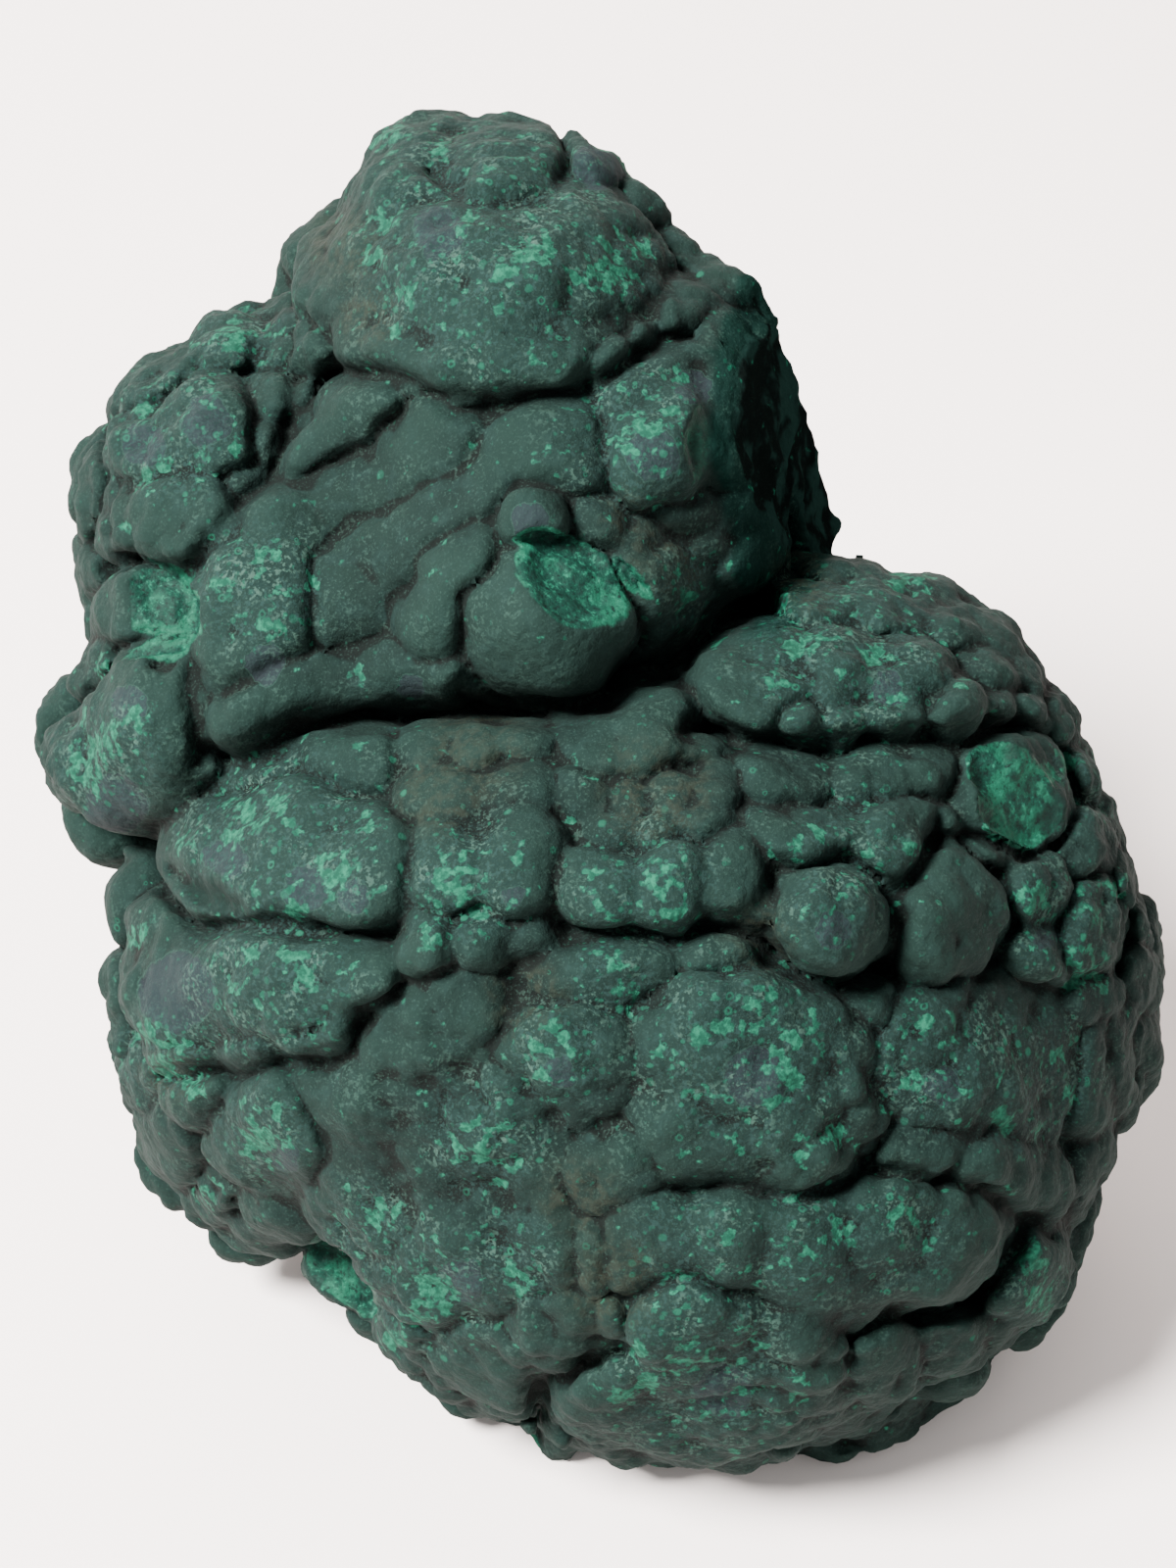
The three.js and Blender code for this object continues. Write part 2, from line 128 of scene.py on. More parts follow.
# The tower's right side is broken off along a steep plane, given in the face frame.
TOWER_FRACTURE = ((13.4, 30, 8), (0.955, 0.06, 0.29))

# --- Lobes of the skin -------------------------------------------------------------------------
# A group is (blend, lobes), and a lobe is (across, up, half width, half height, turn, raise, bulge).
UPPER_GROUPS = (
    # crown, with its rolled lower lip
    (3.0, (
        (-8.5, 41.0, 12.6, 7.6, 0, 3.0, 4.0),
        (-19.2, 41.0, 5.4, 6.6, 20, 1.8, 3.0),
        (2.0, 42.4, 6.4, 6.6, -35, 2.2, 3.4),
        (-14.5, 35.2, 7.6, 3.2, 2, 3.8, 2.6),
        (-4.4, 34.4, 6.0, 3.4, 14, 4.0, 2.8),
        (-15.8, 48.0, 4.8, 5.4, -20, 1.4, 2.8),
        (-3.6, 46.8, 7.4, 3.0, 0, 1.6, 2.6),
        (-6.7, 51.4, 4.8, 3.8, 0, 2.2, 2.8),
        (-14.2, 53.2, 4.0, 3.0, 25, 1.6, 2.4),
    )),
    (0.7, (
        (1.2, 51.2, 3.6, 3.6, -20, 1.6, 2.6),
        (5.4, 47.2, 2.8, 2.6, -40, 1.2, 2.0),
    )),
    (1.0, (
        (-9.3, 31.4, 2.2, 1.2, -5, 2.8, 1.2),
        (1.2, 34.6, 2.6, 1.7, 38, 3.2, 1.6),
        (4.2, 37.4, 2.3, 1.7, 35, 2.6, 1.6),
        (-22.4, 35.6, 2.2, 3.0, 0, 1.2, 2.0),
    )),
    (0.7, (
        (7.6, 39.2, 3.4, 3.0, 30, 2.8, 2.6),
        (10.6, 41.6, 2.8, 2.0, -25, 1.8, 1.8),
        (8.0, 43.6, 2.2, 1.6, -35, 1.4, 1.4),
    )),
    # left shoulder
    (1.6, (
        (-29.4, 36.0, 5.2, 2.2, 35, 1.4, 2.2),
        (-25.2, 37.0, 2.4, 3.2, 10, 0.8, 2.0),
        (-35.0, 32.8, 4.4, 2.4, 38, 1.4, 2.2),
    )),
    (2.6, (
        (-31.8, 29.4, 4.8, 4.5, 0, 3.8, 3.6),
        (-36.0, 27.6, 3.6, 3.7, 0, 3.0, 3.0),
    )),
    (1.2, (
        (-33.6, 21.7, 4.8, 3.8, 0, 3.6, 3.2),
        (-37.8, 21.2, 2.4, 2.9, 0, 2.8, 2.2),
    )),
    (1.0, (
        (-28.6, 25.2, 2.6, 2.2, 20, 1.6, 1.8),
        (-26.0, 28.4, 2.2, 2.4, 0, 1.4, 1.8),
        (-24.6, 31.8, 2.4, 1.9, 0, 1.6, 1.6),
        (-22.6, 29.2, 1.5, 1.6, 0, 1.4, 1.2),
        (-40.4, 24.5, 1.8, 4.6, 0, 0.8, 1.8),
        (-40.4, 17.6, 2.0, 1.8, 0, 1.0, 1.6),
        (-31.6, 17.8, 1.8, 2.4, 0, 1.4, 1.5),
    )),
    (1.2, (
        (-36.8, 14.0, 4.8, 3.4, 5, 2.0, 2.8),
        (-39.8, 9.4, 2.6, 2.4, 20, 0.8, 2.0),
        (-34.6, 9.4, 2.8, 2.2, 30, 1.0, 1.8),
    )),
    # folds that run down the tower
    (0.9, ((-19.9, 28.6, 5.2, 2.4, 52, 4.4, 2.2),)),
    (3.2, (
        (-13.6, 27.8, 6.6, 3.8, 42, 2.8, 3.0),
        (-19.6, 23.8, 5.2, 3.8, 42, 3.2, 3.0),
        (-25.0, 20.4, 5.0, 4.6, 45, 4.0, 3.6),
        (-27.3, 15.6, 6.2, 6.4, -10, 4.8, 4.6),
        (-29.0, 11.2, 3.9, 3.3, 20, 4.6, 3.2),
    )),
    (3.0, (
        (-3.0, 27.2, 5.0, 4.2, -10, 2.8, 3.4),
        (-8.6, 25.0, 4.4, 3.2, 30, 2.8, 2.8),
        (-13.2, 22.2, 4.4, 3.2, 35, 3.0, 2.8),
        (-17.4, 18.8, 4.0, 3.6, 45, 3.4, 3.0),
        (-19.6, 14.6, 4.2, 4.4, 20, 4.0, 3.4),
    )),
    (1.8, (
        (6.0, 28.4, 4.7, 5.4, -10, 3.8, 3.6),
        (5.4, 33.6, 5.4, 3.0, 35, 2.6, 2.6),
        (10.8, 35.0, 2.6, 4.4, 5, 2.0, 2.0),
        (11.4, 27.4, 2.6, 4.2, 20, 2.4, 2.2),
    )),
    (1.2, (
        (1.0, 21.4, 2.5, 2.6, 0, 1.8, 2.0),
        (4.6, 20.6, 2.1, 2.2, 0, 1.6, 1.8),
        (7.8, 22.4, 3.2, 1.8, -10, 2.0, 1.8),
        (11.8, 21.8, 2.4, 2.1, 0, 2.2, 1.6),
        (12.0, 17.8, 2.7, 2.4, 50, 2.8, 1.8),
        (6.4, 16.4, 4.3, 3.6, -10, 3.0, 2.8),
        (9.6, 19.2, 2.2, 1.9, -20, 2.2, 1.6),
        (7.4, 12.6, 2.8, 2.0, 30, 2.2, 1.8),
        (10.2, 14.4, 2.0, 2.4, -20, 2.0, 1.6),
    )),
    # the fold beside the big cut lobe
    (3.0, (
        (-12.4, 13.0, 4.0, 4.6, 5, 4.4, 3.6),
        (-10.6, 17.4, 3.8, 3.4, -35, 4.0, 3.0),
    )),
    # the long sausage under the folds
    (3.0, (
        (-28.0, 5.6, 3.6, 3.1, 0, 4.8, 3.0),
        (-24.4, 6.8, 3.4, 2.9, 15, 4.6, 2.8),
        (-20.4, 8.2, 3.8, 3.0, 15, 4.6, 2.8),
        (-16.0, 9.0, 3.8, 3.1, 10, 4.8, 2.8),
        (-12.0, 9.0, 3.4, 3.0, 5, 4.8, 2.8),
    )),
    # the bulge on the left
    (3.0, (
        (-37.2, 4.0, 7.6, 5.8, 50, 5.6, 5.4),
        (-41.8, 1.8, 3.0, 4.6, -10, 3.6, 3.6),
        (-38.4, -1.2, 3.8, 3.2, 15, 4.4, 3.2),
        (-34.0, 8.6, 3.6, 3.2, 40, 3.6, 2.8),
    )),
)

LOWER_GROUPS = (
    # shelf across the middle, from the left
    (1.8, (
        (-20.4, 2.4, 5.2, 2.9, 5, 2.0, 2.6),
        (-27.0, 0.6, 4.2, 2.4, 14, 1.6, 2.2),
    )),
    (1.2, (
        (-13.2, 3.2, 2.4, 2.2, 0, 1.2, 1.9),
        (-9.2, 3.2, 2.4, 2.2, 0, 1.2, 1.9),
        (-5.2, 3.4, 2.6, 2.4, 0, 1.0, 1.9),
    )),
    (3.0, (
        (-32.0, -4.4, 4.6, 4.6, -20, 2.8, 3.4),
        (-26.0, -3.6, 6.2, 4.8, 0, 3.2, 3.6),
        (-19.8, -5.8, 5.4, 5.4, 0, 3.2, 3.8),
        (-27.4, -8.4, 6.2, 3.0, -22, 3.4, 2.8),
        (-32.8, -8.2, 3.2, 2.6, -40, 2.8, 2.2),
    )),
    (1.6, (
        (-11.4, -6.9, 3.4, 4.0, 0, 2.8, 3.0),
        (-5.8, -6.2, 3.4, 4.4, 0, 2.8, 3.0),
        (-11.6, -1.0, 4.0, 2.6, 0, 1.6, 2.0),
        (-5.8, -0.6, 3.4, 2.4, 0, 1.4, 1.9),
    )),
    (2.4, (
        (5.6, 5.4, 4.6, 4.6, 0, 2.2, 3.4),
        (0.6, 4.6, 4.4, 3.6, 0, 1.6, 2.8),
        (9.8, 3.4, 2.4, 2.0, 0, 1.0, 1.7),
    )),
    (1.0, (
        (-1.0, -0.2, 2.6, 2.2, 0, 1.0, 1.6),
        (3.4, -0.6, 2.4, 2.2, 0, 1.0, 1.6),
        (7.0, -0.8, 2.2, 2.4, 0, 1.0, 1.8),
        (10.6, -0.6, 2.0, 2.2, 0, 0.8, 1.4),
        (1.6, -3.6, 2.4, 1.8, 0, 1.4, 1.5),
        (5.8, -4.0, 2.4, 1.6, 0, 1.4, 1.4),
        (10.0, -3.6, 2.2, 1.6, 0, 1.2, 1.4),
    )),
    (1.4, (
        (0.8, -8.2, 3.2, 3.8, 0, 2.8, 2.8),
        (6.8, -8.4, 3.8, 3.8, 0, 3.0, 3.0),
        (12.2, -7.8, 2.6, 3.8, -5, 2.4, 2.4),
        (14.8, -10.2, 2.0, 2.8, -10, 1.8, 1.8),
    )),
    (2.4, (
        (25.2, -5.4, 3.8, 4.0, 25, 4.2, 3.4),
        (18.4, -3.8, 5.4, 2.5, 0, 2.8, 2.2),
        (28.0, -3.8, 2.4, 1.6, 10, 3.8, 1.8),
    )),
    (1.0, (
        (36.6, -8.2, 2.5, 3.3, -10, 4.0, 2.4),
        (37.0, -13.2, 2.4, 2.5, 0, 3.6, 2.2),
        (33.4, -5.6, 2.8, 2.2, 0, 2.2, 1.8),
    )),
    (1.2, (
        (16.2, 0.8, 3.8, 3.2, 0, 1.6, 2.6),
        (23.4, 0.8, 4.4, 3.0, 0, 2.0, 2.4),
        (28.6, 0.6, 2.4, 2.4, 0, 2.0, 1.9),
    )),
    # right shoulder
    (2.2, (
        (13.4, 9.4, 5.6, 5.2, -5, 5.2, 4.0),
        (20.2, 9.8, 4.4, 4.4, 0, 4.6, 3.4),
        (26.2, 9.2, 4.0, 3.8, -15, 4.2, 3.0),
    )),
    (1.0, (
        (16.8, 5.8, 2.4, 2.0, -10, 4.4, 1.9),
        (21.0, 5.4, 2.6, 2.0, 10, 4.4, 2.0),
        (25.6, 5.8, 2.8, 2.0, 10, 4.4, 2.0),
        (30.2, 6.4, 2.5, 2.6, 0, 4.6, 2.2),
    )),
    (1.4, (
        (18.0, 14.0, 4.6, 2.6, -10, 2.6, 2.4),
        (24.4, 14.6, 4.2, 2.6, -25, 2.2, 2.2),
        (21.0, 17.6, 3.8, 1.9, -15, 1.8, 1.8),
        (27.4, 16.0, 2.6, 1.6, -30, 1.4, 1.4),
        (29.6, 12.8, 3.0, 2.2, -30, 2.4, 1.8),
        (33.0, 11.6, 2.8, 1.6, -45, 1.8, 1.4),
        (32.6, 8.8, 2.4, 1.8, -25, 3.0, 1.6),
        (35.8, 8.4, 2.2, 1.3, -45, 2.2, 1.2),
    )),
    (0.6, (
        (33.6, 5.8, 1.7, 1.8, 0, 4.0, 1.6),
        (36.2, 6.2, 1.6, 1.4, 15, 3.4, 1.3),
        (38.8, 5.6, 1.8, 2.2, 35, 2.8, 1.8),
        (40.6, 1.4, 1.4, 2.6, 10, 2.4, 1.6),
    )),
    (0.8, (
        (40.0, -4.6, 2.4, 2.8, 10, 3.8, 2.4),
        (41.8, -1.8, 1.2, 1.9, 10, 2.0, 1.3),
        (43.2, -8.2, 1.5, 2.4, 10, 2.8, 1.8),
        (44.8, -11.6, 1.3, 2.4, 15, 1.6, 1.6),
    )),
    # tier under the shelf on the left
    (3.0, (
        (-33.4, -16.8, 5.4, 5.6, -20, 2.2, 3.6),
        (-26.6, -17.0, 6.6, 5.2, -5, 2.8, 3.6),
        (-19.8, -15.8, 4.0, 3.6, 5, 2.4, 2.8),
        (-34.2, -11.8, 4.4, 2.8, -30, 0.8, 2.2),
    )),
    (1.0, (
        (-22.6, -20.8, 3.6, 1.9, 12, 2.2, 1.8),
        (-28.4, -22.0, 3.4, 1.7, -5, 2.0, 1.7),
        (-33.6, -21.9, 3.0, 1.8, -10, 1.6, 1.7),
    )),
    (0.9, (
        (-13.4, -13.4, 3.2, 2.8, 0, 2.8, 2.6),
        (-8.6, -13.2, 2.6, 2.3, 10, 2.0, 2.0),
        (-4.6, -12.6, 2.8, 1.6, 20, 1.4, 1.6),
    )),
    # belly: one broad dome on the left that runs down to the foot
    (4.0, (
        (-12.4, -20.0, 7.2, 4.6, 12, 1.4, 2.8),
        (-19.4, -25.6, 4.6, 5.2, 20, 1.4, 2.8),
        (-9.0, -28.6, 8.0, 6.0, 10, 2.0, 3.2),
        (-18.0, -33.0, 4.6, 4.6, 20, 1.6, 2.8),
        (-12.2, -38.8, 7.6, 6.4, 0, 2.4, 4.0),
        (-5.0, -37.6, 4.6, 4.6, 0, 1.8, 3.0),
    )),
    (1.6, (
        (1.0, -15.2, 6.6, 3.4, 5, 0.8, 2.4),
        (11.8, -14.6, 4.8, 2.6, 0, 0.8, 2.0),
    )),
    (1.4, ((-1.6, -22.4, 5.4, 5.4, -10, 2.2, 3.6),)),
    (3.0, (
        (13.6, -22.0, 9.6, 7.6, 0, 2.8, 4.2),
        (8.6, -28.8, 5.0, 3.8, -10, 2.4, 2.8),
        (18.8, -28.2, 5.0, 4.4, 20, 2.4, 3.0),
    )),
    (1.4, (
        (22.6, -17.6, 3.0, 2.6, -20, 1.0, 2.0),
        (2.6, -31.0, 3.6, 3.4, 0, 1.6, 2.4),
    )),
    (3.4, (
        (28.8, -22.4, 5.4, 6.4, 0, 2.2, 3.4),
        (35.6, -22.8, 4.8, 6.4, 10, 2.0, 3.2),
        (33.0, -17.0, 5.6, 2.4, -5, 1.4, 2.0),
    )),
    (1.2, (
        (27.6, -30.6, 3.8, 2.2, 5, 1.8, 1.9),
        (34.0, -31.0, 4.6, 2.8, 18, 2.2, 2.2),
        (38.4, -31.8, 2.4, 2.8, 25, 1.8, 2.0),
    )),
    (0.6, (
        (41.0, -17.2, 2.6, 2.4, -10, 1.6, 1.8),
        (41.4, -24.4, 1.9, 5.2, 0, 1.6, 2.2),
        (43.4, -23.0, 1.6, 5.4, 5, 1.0, 2.0),
        (41.4, -31.0, 1.8, 3.2, -20, 1.2, 1.8),
        (45.0, -16.0, 1.7, 3.6, 10, 1.0, 1.8),
        (45.2, -22.4, 1.2, 4.0, 5, 0.4, 1.4),
    )),
    # left foot
    (1.2, (
        (-36.8, -24.6, 2.6, 3.0, 0, 1.0, 1.9),
        (-32.4, -25.4, 2.6, 2.0, -20, 1.4, 1.6),
        (-34.6, -29.0, 3.2, 3.1, 10, 1.8, 2.4),
    )),
    (2.0, (
        (-26.0, -29.2, 5.0, 4.8, 0, 2.6, 3.4),
        (-26.4, -36.6, 3.8, 3.8, 0, 2.0, 2.8),
        (-21.6, -34.6, 2.4, 2.6, 0, 1.6, 1.9),
        (-29.4, -34.0, 2.4, 2.6, 0, 1.2, 1.8),
    )),
    (0.8, ((-20.8, -40.6, 3.0, 3.6, 0, 0.4, 2.0),)),
    (1.4, (
        (-2.8, -44.4, 3.6, 3.4, 0, 1.8, 2.6),
        (-8.8, -48.4, 5.2, 4.4, -10, 2.0, 3.2),
        (-15.0, -45.2, 3.4, 2.8, -30, 1.2, 2.2),
        (1.8, -44.2, 2.2, 2.3, 0, 1.6, 1.9),
        (0.0, -38.2, 2.4, 2.8, 0, 1.2, 1.9),
    )),
    # the two shelves above the foot
    (2.6, (
        (5.6, -37.8, 4.0, 4.0, 20, 1.8, 3.0),
        (11.6, -37.4, 4.0, 3.8, 0, 2.0, 2.8),
        (18.2, -37.8, 4.6, 5.0, 0, 2.8, 3.4),
        (24.8, -37.0, 4.2, 4.6, 0, 2.6, 3.2),
        (30.8, -37.0, 3.8, 3.8, -20, 2.6, 2.8),
        (22.0, -42.0, 4.2, 2.6, 5, 2.6, 2.4),
        (28.6, -41.0, 3.6, 2.6, 20, 2.6, 2.2),
    )),
    (2.6, (
        (1.6, -49.6, 4.4, 3.8, -10, 2.4, 3.0),
        (9.0, -46.6, 6.6, 4.8, 0, 3.2, 3.8),
        (16.4, -46.8, 4.8, 4.4, 0, 2.6, 3.2),
        (9.0, -52.6, 7.0, 4.0, 0, 2.4, 3.0),
        (16.6, -50.6, 4.4, 3.0, 20, 1.8, 2.4),
    )),
    (0.9, (
        (24.2, -47.4, 3.8, 3.6, 15, 1.8, 2.4),
        (30.4, -45.8, 3.2, 2.6, 20, 1.4, 2.0),
        (36.2, -41.0, 3.2, 4.2, -15, 2.0, 2.8),
        (34.0, -44.4, 2.4, 1.8, 30, 1.0, 1.6),
    )),
)

# Balls: lobes that stand proud of their neighbours with a round outline of their own.
UPPER_BALLS = (
    (-4.2, 21.4, 3.1, 2.8, 0, 4.4, 3.4),
    (-3.3, 12.4, 7.3, 6.2, -5, 6.2, 4.6),
)
LOWER_BALLS = (
    (20.0, -10.8, 4.7, 4.7, 0, 5.6, 5.6),
    (29.8, -10.8, 5.3, 5.4, 0, 5.0, 4.6),
    (35.4, -0.2, 4.4, 4.5, 20, 5.0, 3.8),
    (40.9, -11.2, 2.3, 3.7, 0, 4.2, 3.2),
)

# Deep gaps under the overhanging tiers: (half width, depth, places along it as (across, up)).
GAPS = (
    # under the crown's lip
    (0.8, 1.6, ((-21, 33.5), (-14, 33.0), (-10.5, 31.0), (-6, 31), (-1.8, 31.8), (2.5, 34.6), (8.5, 36.8))),
    # under the crown's brow, and down its right side
    (0.5, 0.8, (
        (-12.6, 50.2), (-11.4, 48.6), (-8.6, 47.2), (-6, 47.8), (-3, 48.2), (-2.2, 50.4), (-2.5, 54),
    )),
    # valley between the shoulder and the folds
    (0.8, 1.2, (
        (-23.6, 33), (-25.0, 26.3), (-29.6, 22.4), (-32.4, 18.0), (-32.4, 13), (-32, 7.5), (-31.5, 2),
    )),
    (0.8, 1.2, ((-39, 17.8), (-36, 17.5), (-33.6, 17.8))),
    # under the folds and the cut lobe
    (0.9, 2.4, ((-31, 3.0), (-28.2, 2.4), (-25.5, 3.6), (-21.5, 4.8), (-17, 5.8), (-9.6, 6.0))),
    (1.1, 3.0, ((-9.8, 7.2), (-8, 6.0), (-4.8, 5.2), (-1.5, 5.8), (1.5, 7.4), (3.6, 9.6))),
    (1.1, 3.0, ((3.6, 9.6), (6.5, 10.6), (9, 11.6), (11.5, 13.2), (14, 14.6))),
    # under the middle shelf
    (0.8, 2.0, ((-35, -9), (-32.5, -10.9), (-29, -11.7), (-25.5, -11.2), (-19.5, -12.4), (-16, -11.6))),
    (0.8, 2.0, ((-2.4, -11.4), (0, -12), (6, -12.4), (9.4, -12.2), (13.5, -12.4), (15.4, -13.6))),
    (0.9, 2.6, ((15.2, -13.6), (17, -15.4), (20, -16.2), (23, -15.4), (24.9, -13.2), (25.2, -10.6))),
    (0.8, 2.2, ((25, -9.6), (26.8, -8), (28.6, -6.2), (28.9, -3.6))),
    # under the right shoulder
    (0.9, 2.4, ((8.6, 4.2), (12, 3.5), (17.5, 3.2), (21.5, 3.8), (27, 4.0), (29.5, 3.4), (34, 4.6))),
    (0.9, 2.4, ((8.2, 9.5), (8.8, 12), (11, 14), (14.6, 14.6))),
    # lens-shaped notch at the shelf's left end
    (1.0, 1.8, ((-33.8, -6.8), (-31.0, -8.8), (-28.4, -10.4))),
    # on the belly
    (0.7, 1.6, ((-34, -23.4), (-30, -23.9), (-24, -23.5), (-19, -21.3), (-17.6, -17.6), (-15.6, -16))),
    (0.7, 1.8, ((7.6, -33), (13, -33.6), (16, -33.7), (19.5, -33.1), (22, -31.7), (23.6, -30))),
    (0.7, 1.8, ((23.4, -31.4), (26, -32.6), (29, -33.2), (32, -33), (33.4, -34.6), (37.4, -37))),
    # above the foot
    (0.8, 2.2, ((20.4, -44.8), (23, -44.4), (29, -43.4), (31.6, -41.8), (33.4, -39.6), (35, -36.4))),
    (0.7, 2.0, ((-3.8, -48.6), (-2, -47.8), (-0.4, -46.8), (3, -46.6))),
    (0.8, 3.0, ((-3.8, -48.6), (-3.6, -51), (-3, -53.5))),
)

# Chips broken off flat: (across, up, rise, half width, half height, turn, lean across, lean up).
# The broken face passes through the given place and looks right and up by the lean.
CHIPS = (
    # top of the big cut lobe
    (-0.8, 15.4, 3.9, 7.0, 4.4, -24, 0.64, 0.76),
    # lobe at the far left
    (-36.8, 14.0, 1.9, 5.6, 4.2, 4, 0.0, 0.15),
    # foot on the left
    (-20.8, -40.6, 0.4, 3.4, 4.2, 8, -0.2, 0.1),
    # right end of the shelf
    (35.5, -0.6, 4.0, 4.0, 3.8, -30, 0.9, 0.0),
    (33.4, 1.0, 3.0, 2.4, 2.4, 0, 0.1, 0.3),
    # faceted lobe under the crown on the right
    (10.0, 27.4, 2.8, 2.4, 3.6, 10, 0.5, 0.0),
    # crown
    (1.6, 52.6, 1.0, 2.2, 1.4, -40, 0.4, 0.5),
    (-16.2, 53.8, 1.0, 2.6, 1.4, 30, -0.2, 0.4),
)

